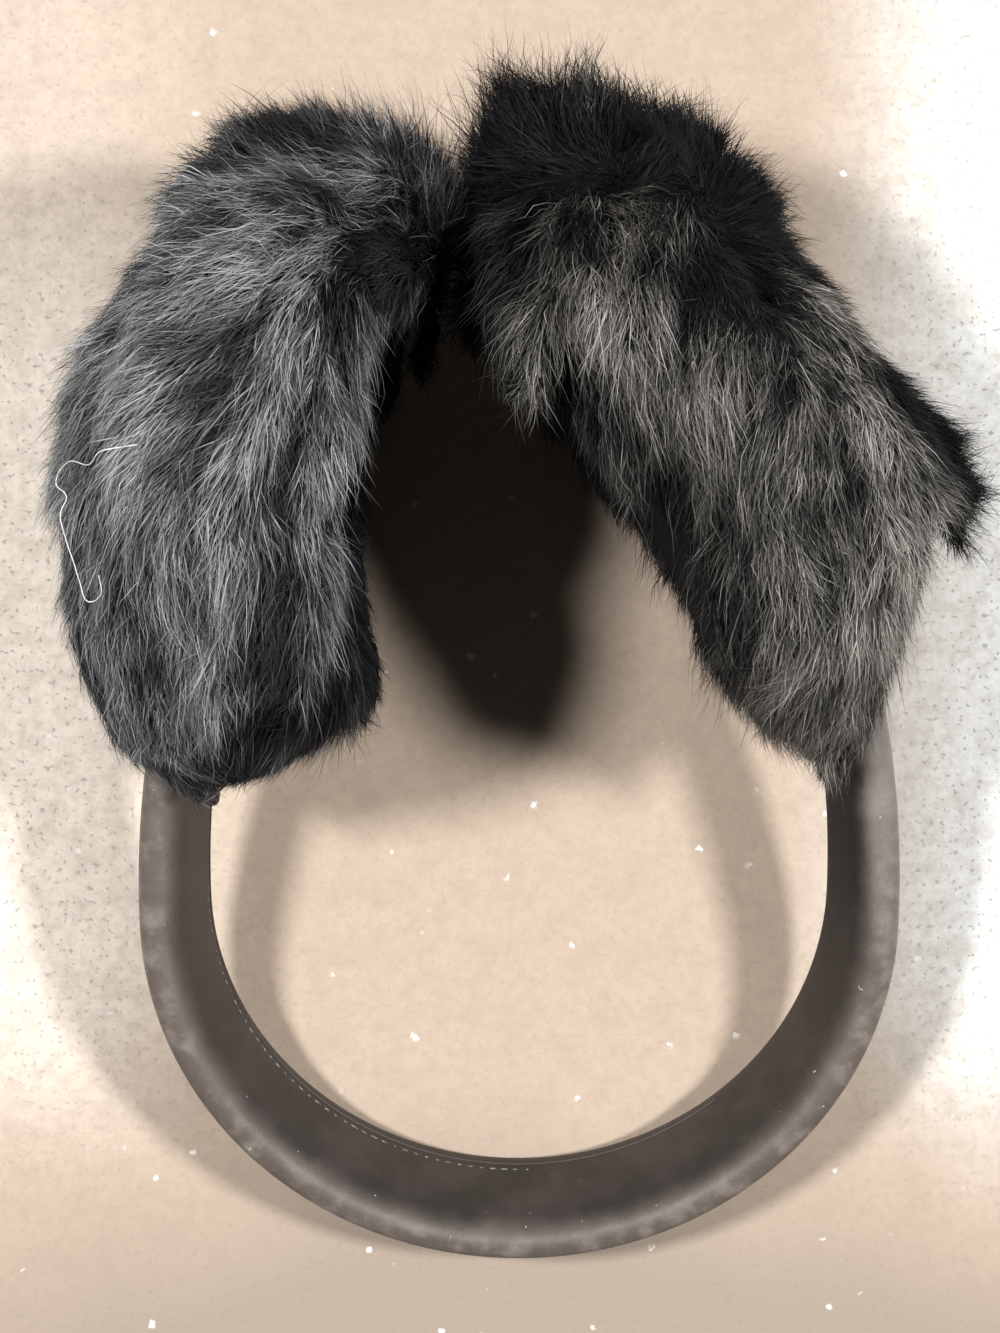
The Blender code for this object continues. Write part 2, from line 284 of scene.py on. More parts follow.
def grey(value: float) -> tuple:
    """A neutral colour."""
    return (value, value, value, 1.0)


def new_finish(name: str) -> tuple[bpy.types.Material, Bench, bpy.types.Node]:
    """A material with its bench and its Principled shader.

    Args:
        name: The material's name.

    Returns:
        The material, its bench and its shader node.
    """
    material = bpy.data.materials.new(name)
    material.use_nodes = True
    shader = material.node_tree.nodes["Principled BSDF"]
    return material, Bench(material.node_tree), shader


@dataclass(frozen=True)
class HairFinish:
    """Hair, coloured along each strand and from strand to strand through its own UV map.

    The map's U is a strand's lightness, in narrow columns, which carries painted sheen and shade
    of the black fur as well as tone that differs at random, and its V runs from root to tip. Each
    column has its own place along the strand where a painted glint lies.
    """

    name: str
    root: tuple
    dark: tuple
    mid: tuple
    light: tuple
    roughness: float = 0.45
    gloss: float = 0.14

    def make(self) -> bpy.types.Material:
        """The material."""
        material, bench, shader = new_finish(self.name)
        place = bench.add("ShaderNodeUVMap", {"uv_map": BAKE_MAP}).wire("UV")
        split = bench.add("ShaderNodeSeparateXYZ", None, {"Vector": place})
        along = split.wire("Y")
        column = (split.wire("X") * COLUMNS).floor()
        lightness = column / COLUMNS
        chance = bench.add(
            "ShaderNodeTexWhiteNoise", {"noise_dimensions": "1D"}, {"W": column}
        ).wire("Value")
        # The mid and light colours stand for painted sheen on the black fur; the dark colour is
        # the fur's own
        stops = ((0.0, self.dark), (0.07, self.dark), (0.34, self.mid), (1.0, self.light))
        tint = bench.add("ShaderNodeValToRGB", {"stops": stops}, {"Fac": lightness}).wire("Color")
        # Painted shade deep in the fur: each strand darkens towards its root
        shown = along.ramp(0.04, 0.50)
        colour = bench.blend(shown, self.root, tint)
        # A painted glint: a lighter band at one place along each lighter strand
        beside = (along - (0.42 + 0.46 * chance)).size()
        painted_glint = (1 - beside.ramp(0.02, 0.17)) * lightness.ramp(0.10, 0.55)
        colour = bench.blend(painted_glint * 0.65, colour, self.light)
        bench.join(colour, shader.inputs["Base Color"])
        rough = self.roughness + 0.12 * (1 - lightness)
        bench.join(rough, shader.inputs["Roughness"])
        shader.inputs["Specular IOR Level"].default_value = self.gloss
        return material


@dataclass(frozen=True)
class PeltFinish:
    """The dark short wool at the roots of the hair."""

    name: str
    dark: tuple = (0.003, 0.003, 0.0035, 1.0)
    light: tuple = (0.010, 0.010, 0.011, 1.0)

    def make(self) -> bpy.types.Material:
        """The material."""
        material, bench, shader = new_finish(self.name)
        place = bench.add("ShaderNodeTexCoord").wire("Object")
        curl = bench.noise(place, 900.0, 4.0, 0.65).wire("Fac")
        bench.join(
            bench.blend(curl.ramp(0.35, 0.75), self.dark, self.light), shader.inputs["Base Color"]
        )
        shader.inputs["Roughness"].default_value = 0.95
        shader.inputs["Specular IOR Level"].default_value = 0.1
        bump = bench.add(
            "ShaderNodeBump", None, {"Strength": 0.6, "Distance": 0.0006, "Height": curl}
        )
        bench.join(bump.wire("Normal"), shader.inputs["Normal"])
        return material


@dataclass(frozen=True)
class LeatherFinish:
    """Smooth matt leather, darker on the inner face, with a painted sheen along its outer edge,
    painted light on the left arm and painted shade on the right arm.
    """

    name: str = "sleeve_leather"
    deep: tuple = (0.006, 0.0045, 0.0035, 1.0)
    inner: tuple = (0.026, 0.0215, 0.0185, 1.0)
    brown: tuple = (0.050, 0.038, 0.034, 1.0)
    outer: tuple = (0.132, 0.108, 0.092, 1.0)
    painted_sheen: tuple = (0.285, 0.25, 0.22, 1.0)

    def make(self) -> bpy.types.Material:
        """The material."""
        material, bench, shader = new_finish(self.name)
        place = bench.add("ShaderNodeTexCoord").wire("Object")
        edge = bench.add("ShaderNodeAttribute", {"attribute_name": "outer_edge"}).wire("Fac")
        along = bench.add("ShaderNodeAttribute", {"attribute_name": "along"}).wire("Fac")
        cloud = bench.noise(place, 60.0, 3.0, 0.55).wire("Fac")
        blotch = bench.noise(place, 190.0, 3.0, 0.55).wire("Fac")
        grain = bench.noise(place, 1500.0, 3.0, 0.55).wire("Fac")
        speck = bench.noise(place, 560.0, 2.0, 0.5).wire("Fac")
        base = bench.blend(cloud.ramp(0.40, 0.72), self.inner, self.brown)
        # Painted light: the left arm is painted a lighter brown
        base = bench.blend(0.6 * (1 - along.ramp(0.20, 0.42)), base, self.brown)
        # Painted shade: the right arm is painted darker
        base = bench.blend(along.ramp(0.68, 0.82) * 0.92, base, self.deep)
        # Painted highlight: the upper outer edge is painted lighter where light falls on it
        strip = (edge + 0.10 * (blotch - 0.5) + 0.18 * (cloud - 0.5)).ramp(0.10, 0.66)
        colour = bench.blend(strip * (0.50 + 0.75 * blotch), base, self.outer)
        # Painted sheen in blotches along the outer edge
        painted_edge_sheen = (edge + 0.2 * (cloud - 0.5)).ramp(0.45, 0.85) * blotch.ramp(0.44, 0.78)
        colour = bench.blend(painted_edge_sheen * (0.35 + 0.45 * speck), colour, self.painted_sheen)
        # A stronger painted highlight on the right arm's outer edge
        shine = along.ramp(0.74, 0.84) * (edge + 0.25 * (blotch - 0.5)).ramp(0.30, 0.62)
        colour = bench.blend(shine * (0.15 + 0.6 * cloud), colour, self.painted_sheen)
        fleck = speck.ramp(0.735, 0.76) * edge.ramp(0.0, 0.3)
        colour = bench.blend(fleck * 0.7, colour, grey(0.55))
        scuff = blotch.ramp(0.56, 0.80) * (0.06 + 0.14 * speck)
        colour = bench.blend(scuff, colour, self.outer)
        bench.join(colour, shader.inputs["Base Color"])
        dull = 0.3 * along.ramp(0.68, 0.82) * (1 - edge.ramp(0.1, 0.5))
        rough = 0.46 + 0.20 * grain + 0.10 * (cloud - 0.5) + dull
        bench.join(rough, shader.inputs["Roughness"])
        height = grain * 0.55 + blotch * 0.9 + cloud * 1.2
        bump = bench.add(
            "ShaderNodeBump", None, {"Strength": 0.32, "Distance": 0.00045, "Height": height}
        )
        bench.join(bump.wire("Normal"), shader.inputs["Normal"])
        return material


@dataclass(frozen=True)
class ThreadFinish:
    """Twisted sewing thread, or one loose strand of it."""

    name: str
    dark: tuple
    light: tuple

    def make(self) -> bpy.types.Material:
        """The material."""
        material, bench, shader = new_finish(self.name)
        place = bench.add("ShaderNodeTexCoord").wire("Object")
        twist = bench.noise(place, 1800.0, 2.0, 0.5).wire("Fac")
        bench.join(
            bench.blend(twist.ramp(0.3, 0.7), self.dark, self.light), shader.inputs["Base Color"]
        )
        shader.inputs["Roughness"].default_value = 0.7
        return material


@dataclass(frozen=True)
class FloorFinish:
    """A pale beige floor with painted light on its sides and painted shade towards the bottom,
    their borders wobbled by noise, with grit and small chips of stone.
    """

    name: str = "pale_floor"
    dim: tuple = (0.345, 0.275, 0.215, 1.0)
    beige: tuple = (0.49, 0.382, 0.292, 1.0)
    warm: tuple = (0.86, 0.76, 0.66, 1.0)
    white: tuple = (0.88, 0.88, 0.85, 1.0)

    def make(self) -> bpy.types.Material:
        """The material."""
        material, bench, shader = new_finish(self.name)
        place = bench.add("ShaderNodeTexCoord").wire("Object")
        # Noise that wobbles the borders of the painted light and shade
        zone_wobble = bench.noise(place, 11.0, 3.0, 0.5).wire("Fac")
        parts = bench.add("ShaderNodeSeparateXYZ", None, {"Vector": place})
        across = parts.wire("X") + 0.03 * (zone_wobble - 0.5)
        up = parts.wire("Y") + 0.05 * (zone_wobble - 0.5)
        sand = bench.noise(place, 420.0, 4.0, 0.7).wire("Fac")
        # Painted light: the floor's sides are painted paler, warm on the left and white on the
        # right, less so at the upper left
        pale = bench.blend(across.ramp(-0.05, 0.07), self.warm, self.white)
        upper_left = up.ramp(0.07, 0.12) * (1 - across.ramp(-0.05, 0.05))
        share = across.size().ramp(0.055, 0.105) * (up + 0.16).ramp(0.045, 0.105)
        share = share * (1 - 0.75 * upper_left)
        colour = bench.blend(share, self.beige, pale)
        # Painted shade: the floor is painted darker towards the bottom, near the crown
        low = (up * -1.0 - across.size() * 0.25).ramp(0.075, 0.125)
        colour = bench.blend(low, colour, self.dim)
        grit = bench.noise(place, 760.0, 1.0).wire("Fac").ramp(0.62, 0.70)
        colour = bench.blend(grit * (0.14 + 0.34 * share), colour, grey(0.14))
        pebble = bench.noise(place, 150.0, 3.0, 0.6).wire("Fac")
        colour = bench.blend(0.22 * pebble.ramp(0.42, 0.66), colour, self.dim)
        colour = bench.blend(0.34 * sand.ramp(0.35, 0.75), colour, self.dim)
        jag = bench.vector("SCALE", a=bench.noise(place, 700.0, 2.0).wire("Color"), scale=0.0022)
        around = bench.vector("ADD", a=place, b=jag)
        chip = bench.add("ShaderNodeTexVoronoi", None, {"Vector": around, "Scale": 130.0})
        pick = bench.noise(place, 85.0, 1.0).wire("Fac").ramp(0.53, 0.59)
        dot = (1 - chip.wire("Distance").ramp(0.06, 0.13)) * pick
        bench.join(bench.blend(dot * 0.75, colour, grey(0.88)), shader.inputs["Base Color"])
        shader.inputs["Roughness"].default_value = 0.75
        bump = bench.add(
            "ShaderNodeBump", None, {"Strength": 0.25, "Distance": 0.0004, "Height": sand}
        )
        bench.join(bump.wire("Normal"), shader.inputs["Normal"])
        return material


class GeometryTree:
    """A Geometry Nodes tree with named inputs, run once on an object to make a plain mesh."""

    KINDS = {
        "number": "NodeSocketFloat",
        "count": "NodeSocketInt",
        "vector": "NodeSocketVector",
        "rotation": "NodeSocketRotation",
        "object": "NodeSocketObject",
        "material": "NodeSocketMaterial",
    }

    def __init__(self, name: str, inputs: dict[str, tuple]) -> None:
        """Starts a tree.

        Args:
            name: The tree's name.
            inputs: The kind and the value of each input by its name.
        """
        self.tree = bpy.data.node_groups.new(name, "GeometryNodeTree")
        face = self.tree.interface
        face.new_socket("Geometry", in_out="INPUT", socket_type="NodeSocketGeometry")
        self.values = {}
        for key, (kind, value) in inputs.items():
            socket = face.new_socket(key, in_out="INPUT", socket_type=self.KINDS[kind])
            self.values[socket.identifier] = value
        face.new_socket("Geometry", in_out="OUTPUT", socket_type="NodeSocketGeometry")
        self.bench = Bench(self.tree)
        self.entry = self.bench.add("NodeGroupInput")
        self.exit = self.bench.add("NodeGroupOutput")

    def given(self, name: str) -> Wire:
        """An input of the tree by name."""
        return self.entry.wire(name)

    def attribute(self, name: str, kind: str = "FLOAT") -> Wire:
        """A named attribute of the geometry."""
        settings = {"data_type": kind}
        return self.bench.add(
            "GeometryNodeInputNamedAttribute", settings, {"Name": name}
        ).wire("Attribute")

    def store(self, geometry: Wire, name: str, value: object, kind: str = "FLOAT") -> Wire:
        """Stores a named attribute on the points of a geometry, or a UV map on its corners."""
        domain = "CORNER" if kind == "FLOAT2" else "POINT"
        inputs = {"Geometry": geometry, "Name": name, "Value": value}
        return self.bench.add(
            "GeometryNodeStoreNamedAttribute", {"data_type": kind, "domain": domain}, inputs
        ).wire("Geometry")

    def random(self, low: float, high: float, seed: object) -> Wire:
        """A random number for each point."""
        inputs = {"Min": low, "Max": high, "Seed": seed}
        return self.bench.add("FunctionNodeRandomValue", {"data_type": "FLOAT"}, inputs).wire(
            "Value"
        )

    def random_vector(self, reach: float, seed: object) -> Wire:
        """A random vector for each point."""
        inputs = {"Min": (-reach,) * 3, "Max": (reach,) * 3, "Seed": seed}
        return self.bench.add(
            "FunctionNodeRandomValue", {"data_type": "FLOAT_VECTOR"}, inputs
        ).wire("Value")

    def position(self) -> Wire:
        """Where each point is."""
        return self.bench.add("GeometryNodeInputPosition").wire("Position")

    def end(self, geometry: Wire) -> None:
        """Realizes what is left of instances, sets the material and closes the tree."""
        real = self.bench.add("GeometryNodeRealizeInstances", None, {"Geometry": geometry})
        done = self.bench.add(
            "GeometryNodeSetMaterial",
            None,
            {"Geometry": real.wire("Geometry"), "Material": self.given("Material")},
        )
        self.bench.join(done.wire("Geometry"), self.exit.node.inputs[0])

    def run(self, name: str, source: bpy.types.Object) -> bpy.types.Object:
        """Runs the tree on an object.

        Args:
            name: The name of the new piece.
            source: The object that the tree starts from; it is left as it was.

        Returns:
            A new object with a plain mesh.
        """
        modifier = source.modifiers.new(name, "NODES")
        modifier.node_group = self.tree
        for identifier, value in self.values.items():
            modifier[identifier] = value
        source.update_tag()
        bpy.context.view_layer.update()
        graph = bpy.context.evaluated_depsgraph_get()
        mesh = bpy.data.meshes.new_from_object(source.evaluated_get(graph))
        source.modifiers.remove(modifier)
        mesh.name = name
        return link(name, mesh)


def link(name: str, data: bpy.types.ID) -> bpy.types.Object:
    """Puts new data in the scene as an object."""
    made = bpy.data.objects.new(name, data)
    bpy.context.scene.collection.objects.link(made)
    return made


def triangles(mesh: bpy.types.Mesh) -> int:
    """How many triangles a mesh has."""
    return sum(len(face.vertices) - 2 for face in mesh.polygons)


def mesh_points(mesh: bpy.types.Mesh) -> np.ndarray:
    """A mesh's vertices as rows of three numbers."""
    flat = np.zeros(len(mesh.vertices) * 3)
    mesh.vertices.foreach_get("co", flat)
    return flat.reshape(-1, 3)


def mesh_normals(mesh: bpy.types.Mesh) -> np.ndarray:
    """The normals at a mesh's vertices as rows of three numbers."""
    flat = np.zeros(len(mesh.vertices) * 3)
    mesh.vertex_normals.foreach_get("vector", flat)
    return flat.reshape(-1, 3)


def unit(rows: np.ndarray) -> np.ndarray:
    """Rows scaled to a length of one."""
    return rows / np.maximum(np.linalg.norm(rows, axis=1, keepdims=True), 1e-9)


@dataclass(frozen=True)
class GuideHair:
    """One combed hair that the hairs round it follow.

    Attributes:
        x, y, z: Where it grows, in millimetres.
        heading: Its direction seen from above, in degrees from +X towards +Y.
        slope: How much it climbs, or falls where negative, for each unit along its heading.
        length: Its length in millimetres.
        lift: How far it stands off the pelt at its root, in degrees.
        light: How light the hairs round it are, painting the fur's sheen and shade there: 0 is
            dark, 1 light, and more spreads its light.
    """

    x: float
    y: float
    z: float
    heading: float
    slope: float
    length: float
    lift: float
    light: float

    def way(self) -> Vector:
        """Its direction."""
        turn = math.radians(self.heading)
        return Vector((math.cos(turn), math.sin(turn), self.slope)).normalized()


# Place in mm, heading in degrees, slope, length in mm, lift in degrees and lightness of each,
# which paints the fur's sheen and shade
LEFT_GUIDES = (
    GuideHair(-17, 90, 104, 200, 0.1, 14, 32, 0.35),
    GuideHair(-40, 88, 112, 188, 0.0, 18, 26, 0.60),
    GuideHair(-62, 90, 88, 172, -0.2, 18, 26, 0.45),
    GuideHair(-58, 104, 70, 132, 0.1, 20, 38, 0.12),
    GuideHair(-44, 106, 80, 108, 0.1, 24, 40, 0.08),
    GuideHair(-30, 104, 84, 92, 0.3, 28, 46, 0.40),
    GuideHair(-16, 102, 76, 62, 0.3, 32, 48, 0.30),
    GuideHair(-58, 62, 118, 212, 0.0, 22, 22, 1.00),
    GuideHair(-40, 66, 126, 225, 0.0, 22, 22, 0.95),
    GuideHair(-26, 62, 118, 262, -0.1, 22, 24, 0.50),
    GuideHair(-24, 44, 108, 268, -0.3, 22, 26, 0.80),
    GuideHair(-74, 84, 76, 186, -0.1, 20, 36, 0.35),
    GuideHair(-82, 66, 80, 204, -0.1, 21, 34, 0.55),
    GuideHair(-84, 44, 76, 226, -0.2, 20, 28, 0.70),
    GuideHair(-60, 26, 118, 262, -0.1, 24, 18, 0.70),
    GuideHair(-38, 24, 116, 270, -0.1, 24, 18, 0.65),
    GuideHair(-84, 20, 72, 262, -0.3, 18, 14, 0.60),
    GuideHair(-60, 2, 96, 274, -0.4, 20, 14, 0.55),
    GuideHair(-36, 4, 88, 262, -0.4, 22, 22, 0.20),
    GuideHair(-78, 4, 66, 292, -0.2, 16, 14, 0.50),
    GuideHair(-62, -16, 60, 280, -0.1, 12, 10, 0.30),
    GuideHair(-84, 50, 30, 250, -1.0, 16, 16, 0.30),
    GuideHair(-64, 96, 30, 150, -0.6, 16, 22, 0.20),
    GuideHair(-26, 104, 30, 90, -0.6, 16, 26, 0.15),
    GuideHair(-22, 56, 60, 268, -0.6, 14, 12, 0.00),
    GuideHair(-22, 56, 30, 268, -0.8, 12, 10, 0.00),
    GuideHair(-60, 0, 30, 270, -0.5, 14, 14, 0.20),
    GuideHair(-28, 4, 40, 255, -0.3, 14, 16, 0.05),
)
RIGHT_GUIDES = (
    GuideHair(-4, 112, 80, 112, 0.3, 40, 46, 0.03),
    GuideHair(10, 112, 84, 94, 0.3, 34, 46, 0.24),
    GuideHair(24, 108, 84, 74, 0.2, 23, 48, 0.03),
    GuideHair(38, 100, 84, 66, 0.1, 21, 46, 0.01),
    GuideHair(-9, 104, 92, 140, 0.2, 36, 44, 0.03),
    GuideHair(-10, 100, 66, 140, 0.2, 32, 44, 0.02),
    GuideHair(-8, 92, 98, 190, 0.1, 22, 38, 0.08),
    GuideHair(-6, 76, 110, 266, -0.1, 20, 22, 0.60),
    GuideHair(-5, 60, 104, 264, -0.3, 22, 26, 0.55),
    GuideHair(6, 88, 110, 268, 0.0, 18, 24, 0.50),
    GuideHair(16, 80, 118, 270, 0.0, 20, 22, 0.60),
    GuideHair(28, 94, 104, 60, 0.0, 14, 34, 0.00),
    GuideHair(46, 86, 92, 30, -0.1, 14, 32, 0.00),
    GuideHair(60, 68, 84, 8, -0.2, 14, 30, 0.00),
    GuideHair(4, 66, 116, 269, -0.1, 22, 18, 0.70),
    GuideHair(16, 66, 124, 272, 0.0, 24, 18, 0.80),
    GuideHair(26, 52, 126, 273, 0.0, 22, 18, 0.70),
    GuideHair(36, 74, 116, 290, -0.1, 16, 26, 0.00),
    GuideHair(37, 62, 118, 272, -0.1, 16, 22, 0.12),
    GuideHair(35, 50, 120, 268, -0.1, 16, 20, 0.16),
    GuideHair(35, 38, 119, 268, -0.1, 18, 20, 0.16),
    GuideHair(45, 56, 115, 266, -0.1, 17, 18, 1.10),
    GuideHair(45, 46, 115, 264, -0.1, 17, 18, 1.10),
    GuideHair(24, 38, 118, 264, -0.2, 24, 20, 0.60),
    GuideHair(30, 32, 112, 248, -0.3, 36, 34, 0.55),
    GuideHair(36, 20, 106, 246, -0.3, 36, 38, 0.45),
    GuideHair(60, 78, 92, 320, -0.1, 12, 26, 0.00),
    GuideHair(48, 62, 112, 264, -0.1, 17, 16, 1.30),
    GuideHair(50, 53, 114, 262, -0.1, 18, 16, 1.50),
    GuideHair(52, 43, 112, 262, -0.1, 18, 16, 1.40),
    GuideHair(58, 67, 104, 325, -0.1, 13, 24, 0.00),
    GuideHair(61, 56, 103, 310, -0.1, 13, 24, 0.00),
    GuideHair(66, 46, 95, 318, -0.1, 15, 26, 0.00),
    GuideHair(70, 36, 86, 320, -0.2, 16, 28, 0.04),
    GuideHair(72, 56, 82, 350, 0.1, 17, 46, 0.00),
    GuideHair(77, 44, 76, 352, 0.1, 20, 48, 0.00),
    GuideHair(84, 44, 66, 2, 0.1, 19, 44, 0.00),
    GuideHair(82, 32, 60, 335, 0.1, 22, 44, 0.02),
    GuideHair(80, 22, 62, 300, 0.0, 20, 36, 0.15),
    GuideHair(76, 10, 60, 290, -0.2, 18, 28, 0.30),
    GuideHair(56, 28, 114, 266, -0.1, 22, 20, 1.20),
    GuideHair(66, 14, 92, 264, -0.3, 20, 20, 1.05),
    GuideHair(46, 14, 106, 268, -0.2, 22, 20, 0.45),
    GuideHair(41, 6, 98, 246, -0.3, 32, 36, 0.40),
    GuideHair(56, -4, 80, 262, -0.4, 18, 16, 0.60),
    GuideHair(60, -18, 60, 262, -0.1, 12, 10, 0.30),
    GuideHair(80, 40, 30, 280, -1.0, 16, 16, 0.10),
    GuideHair(50, 86, 30, 45, -0.6, 14, 22, 0.03),
    GuideHair(8, 104, 30, 90, -0.6, 16, 26, 0.05),
    GuideHair(14, 50, 60, 275, -0.6, 14, 12, 0.00),
    GuideHair(12, 48, 98, 258, -0.3, 22, 30, 0.35),
    GuideHair(21, 34, 92, 250, -0.1, 30, 44, 0.50),
    GuideHair(27, 20, 86, 244, 0.0, 32, 50, 0.50),
    GuideHair(36, 6, 76, 244, 0.0, 28, 44, 0.40),
    GuideHair(46, -8, 60, 245, -0.1, 18, 30, 0.30),
    GuideHair(40, 10, 30, 265, -0.3, 16, 20, 0.05),
)


@dataclass
class Coat:
    """One kind of hair on a pelt.

    Attributes:
        label: What a maker calls it.
        count: How many hairs.
        width: A hair's width at the root, in metres.
        length: Its length as a share of the guide hairs' length.
        segments: How many pieces each hair's strip has along it.
        pull: How far the tips gather to the nearest wisp.
        wave: How far the hairs sway from side to side, as a share of their length.
        stray: How far single hairs leave the comb's direction.
        light: How light the hairs are, as a share of the guide hairs' lightness.
    """

    label: str
    count: int
    width: float
    length: float
    segments: int
    pull: float
    wave: float
    stray: float
    light: float


@dataclass(frozen=True)
class Fold:
    """A crease between locks, from one point of the pelt to another, darkened with painted shade.

    Attributes:
        start, end: Where it runs, in millimetres.
        width: How wide it is, in millimetres.
        depth: How far the pelt is drawn in along it, in millimetres.
    """

    start: tuple
    end: tuple
    width: float
    depth: float

    def share(self, points: np.ndarray) -> np.ndarray:
        """How deep in the fold each point lies, from 0 to 1."""
        start, end = np.array(self.start) * MM, np.array(self.end) * MM
        run = end - start
        along = np.clip((points - start) @ run / (run @ run), 0, 1)
        gap = np.linalg.norm(points - start - along[:, None] * run, axis=1)
        return np.exp(-((gap / (self.width * MM)) ** 2))


LEFT_FOLDS = (
    Fold((-35, 12, 104), (-39, -12, 78), 4.0, 3.0),
    Fold((-46, 100, 96), (-66, 84, 92), 4.0, 2.0),
    Fold((-24, 80, 116), (-22, 54, 110), 4.0, 2.0),
)
RIGHT_FOLDS = (
    Fold((12, 97, 98), (38, 70, 112), 6.0, 4.0),
    Fold((38, 70, 114), (37, 48, 116), 5.0, 4.0),
    Fold((37, 48, 116), (32, 22, 108), 4.0, 3.0),
    Fold((46, 20, 108), (40, 6, 96), 3.0, 3.0),
    Fold((48, 2, 86), (46, -14, 64), 3.0, 3.0),
    Fold((44, 77, 104), (72, 64, 82), 4.0, 3.0),
    Fold((72, 50, 84), (76, 22, 70), 4.0, 3.0),
)

# Where the skin is pressed in, in mm
LEFT_SNAGS = ((-75, 88, 75), (-46, 113, 76), (-16, 71, 36))
RIGHT_SNAGS = ((3, 57, 14), (2, 57, 28))


@dataclass
class FurPad:
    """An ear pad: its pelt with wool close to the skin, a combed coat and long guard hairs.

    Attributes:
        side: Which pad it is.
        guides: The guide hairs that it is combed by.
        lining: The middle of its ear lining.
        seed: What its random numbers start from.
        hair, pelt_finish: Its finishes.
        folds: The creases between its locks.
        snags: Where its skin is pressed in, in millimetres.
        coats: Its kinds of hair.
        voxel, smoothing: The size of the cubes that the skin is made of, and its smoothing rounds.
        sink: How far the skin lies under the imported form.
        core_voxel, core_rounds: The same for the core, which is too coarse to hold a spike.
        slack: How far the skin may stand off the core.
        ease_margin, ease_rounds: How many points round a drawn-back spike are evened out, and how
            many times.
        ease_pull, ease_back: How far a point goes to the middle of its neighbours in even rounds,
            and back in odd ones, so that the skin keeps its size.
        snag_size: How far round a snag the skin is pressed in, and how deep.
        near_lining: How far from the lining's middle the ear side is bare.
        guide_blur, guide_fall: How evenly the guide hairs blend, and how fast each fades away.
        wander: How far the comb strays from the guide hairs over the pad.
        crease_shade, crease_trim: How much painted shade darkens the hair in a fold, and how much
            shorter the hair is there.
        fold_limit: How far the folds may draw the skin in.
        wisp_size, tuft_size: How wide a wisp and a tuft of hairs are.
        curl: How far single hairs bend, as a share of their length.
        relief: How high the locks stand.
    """

    side: Side
    guides: tuple
    lining: Vector
    seed: int
    hair: HairFinish
    pelt_finish: PeltFinish
    folds: tuple
    snags: tuple = ()
    coats: tuple = (
        Coat("wool", 104000, 0.00025, 0.36, 1, 0.30, 0.00, 0.65, 0.80),
        Coat("coat", 36000, 0.00021, 0.50, 3, 0.70, 0.07, 0.40, 0.95),
        Coat("guard_hair", 18000, 0.00017, 0.62, 4, 0.80, 0.08, 0.38, 1.05),
    )
    voxel: float = 0.0021
    sink: float = 0.0012
    smoothing: int = 30
    core_voxel: float = 0.010
    core_rounds: int = 3
    slack: float = 0.0018
    ease_margin: int = 2
    ease_rounds: int = 32
    ease_pull: float = 0.60
    ease_back: float = -0.55
    snag_size: float = 0.0065
    near_lining: float = 0.033
    guide_blur: float = 0.006
    guide_fall: float = 1.6
    wander: float = 0.42
    crease_shade: float = 0.8
    crease_trim: float = 0.25
    fold_limit: float = 0.005
    wisp_size: float = 0.0026
    tuft_size: float = 0.0085
    curl: float = 0.24
    relief: float = 0.0024

    def node(self) -> str:
        """The CAD node that this pad stands for."""
        return f"{self.side.value}_fur"

    def build(self, frame: dict) -> list[bpy.types.Object]:
        """Builds the pelt and its coats of hair, and returns the coats."""
        pelt = self.make_pelt(frame["nodes"][self.node()])
        furred = self.comb(pelt.data)
        hair = self.hair.make()
        made = []
        for number, coat in enumerate(self.coats):
            made.append(self.grow(pelt, coat, furred, hair, self.seed + 17 * number))
        pelt.data.materials.clear()
        pelt.data.materials.append(self.pelt_finish.make())
        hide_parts(self.node())
        for piece in [pelt, *made]:
            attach(piece, "root")
        for piece in [pelt, *made]:
            LOG.info("%s: %d triangles", piece.name, triangles(piece.data))
        return made

    def make_pelt(self, solid: bpy.types.Object) -> bpy.types.Object:
        """The stuffed skin: the CAD solid's form, softened and sunk under the tips of the hair.

        Args:
            solid: The pad's CAD node, which is only copied.

        Returns:
            The pelt.
        """
        mesh = solid.data.copy()
        bm = bmesh.new()
        bm.from_mesh(mesh)
        bmesh.ops.remove_doubles(bm, verts=bm.verts, dist=1e-6)
        bm.to_mesh(mesh)
        bm.free()
        skin = self.softened(mesh, self.voxel, self.smoothing)
        core = self.softened(mesh, self.core_voxel, self.core_rounds)
        self.drop_crumbs(skin)
        points = self.press(self.ease(skin, *self.tuck_in(mesh_points(skin), core)))
        skin.vertices.foreach_set("co", points.ravel())
        skin.update()
        points -= mesh_normals(skin) * self.sink
        points[:, 2] = np.maximum(points[:, 2], FLOOR_GAP)
        skin.vertices.foreach_set("co", points.ravel())
        skin.shade_smooth()
        skin.update()
        return link(f"{self.side.value}_pelt", skin)

    @staticmethod
    def softened(mesh: bpy.types.Mesh, voxel: float, rounds: int) -> bpy.types.Mesh:
        """A mesh made anew from cubes of one size and smoothed.

        Args:
            mesh: The mesh, which is left as it was.
            voxel: The size of the cubes.
            rounds: How many times it is smoothed.

        Returns:
            The new mesh.
        """
        rough = link("rough_skin", mesh)
        remesh = rough.modifiers.new("skin", "REMESH")
        remesh.mode = "VOXEL"
        remesh.voxel_size = voxel
        soften = rough.modifiers.new("soften", "SMOOTH")
        soften.factor = 0.6
        soften.iterations = rounds
        bpy.context.view_layer.update()
        graph = bpy.context.evaluated_depsgraph_get()
        made = bpy.data.meshes.new_from_object(rough.evaluated_get(graph))
        bpy.data.objects.remove(rough)
        return made

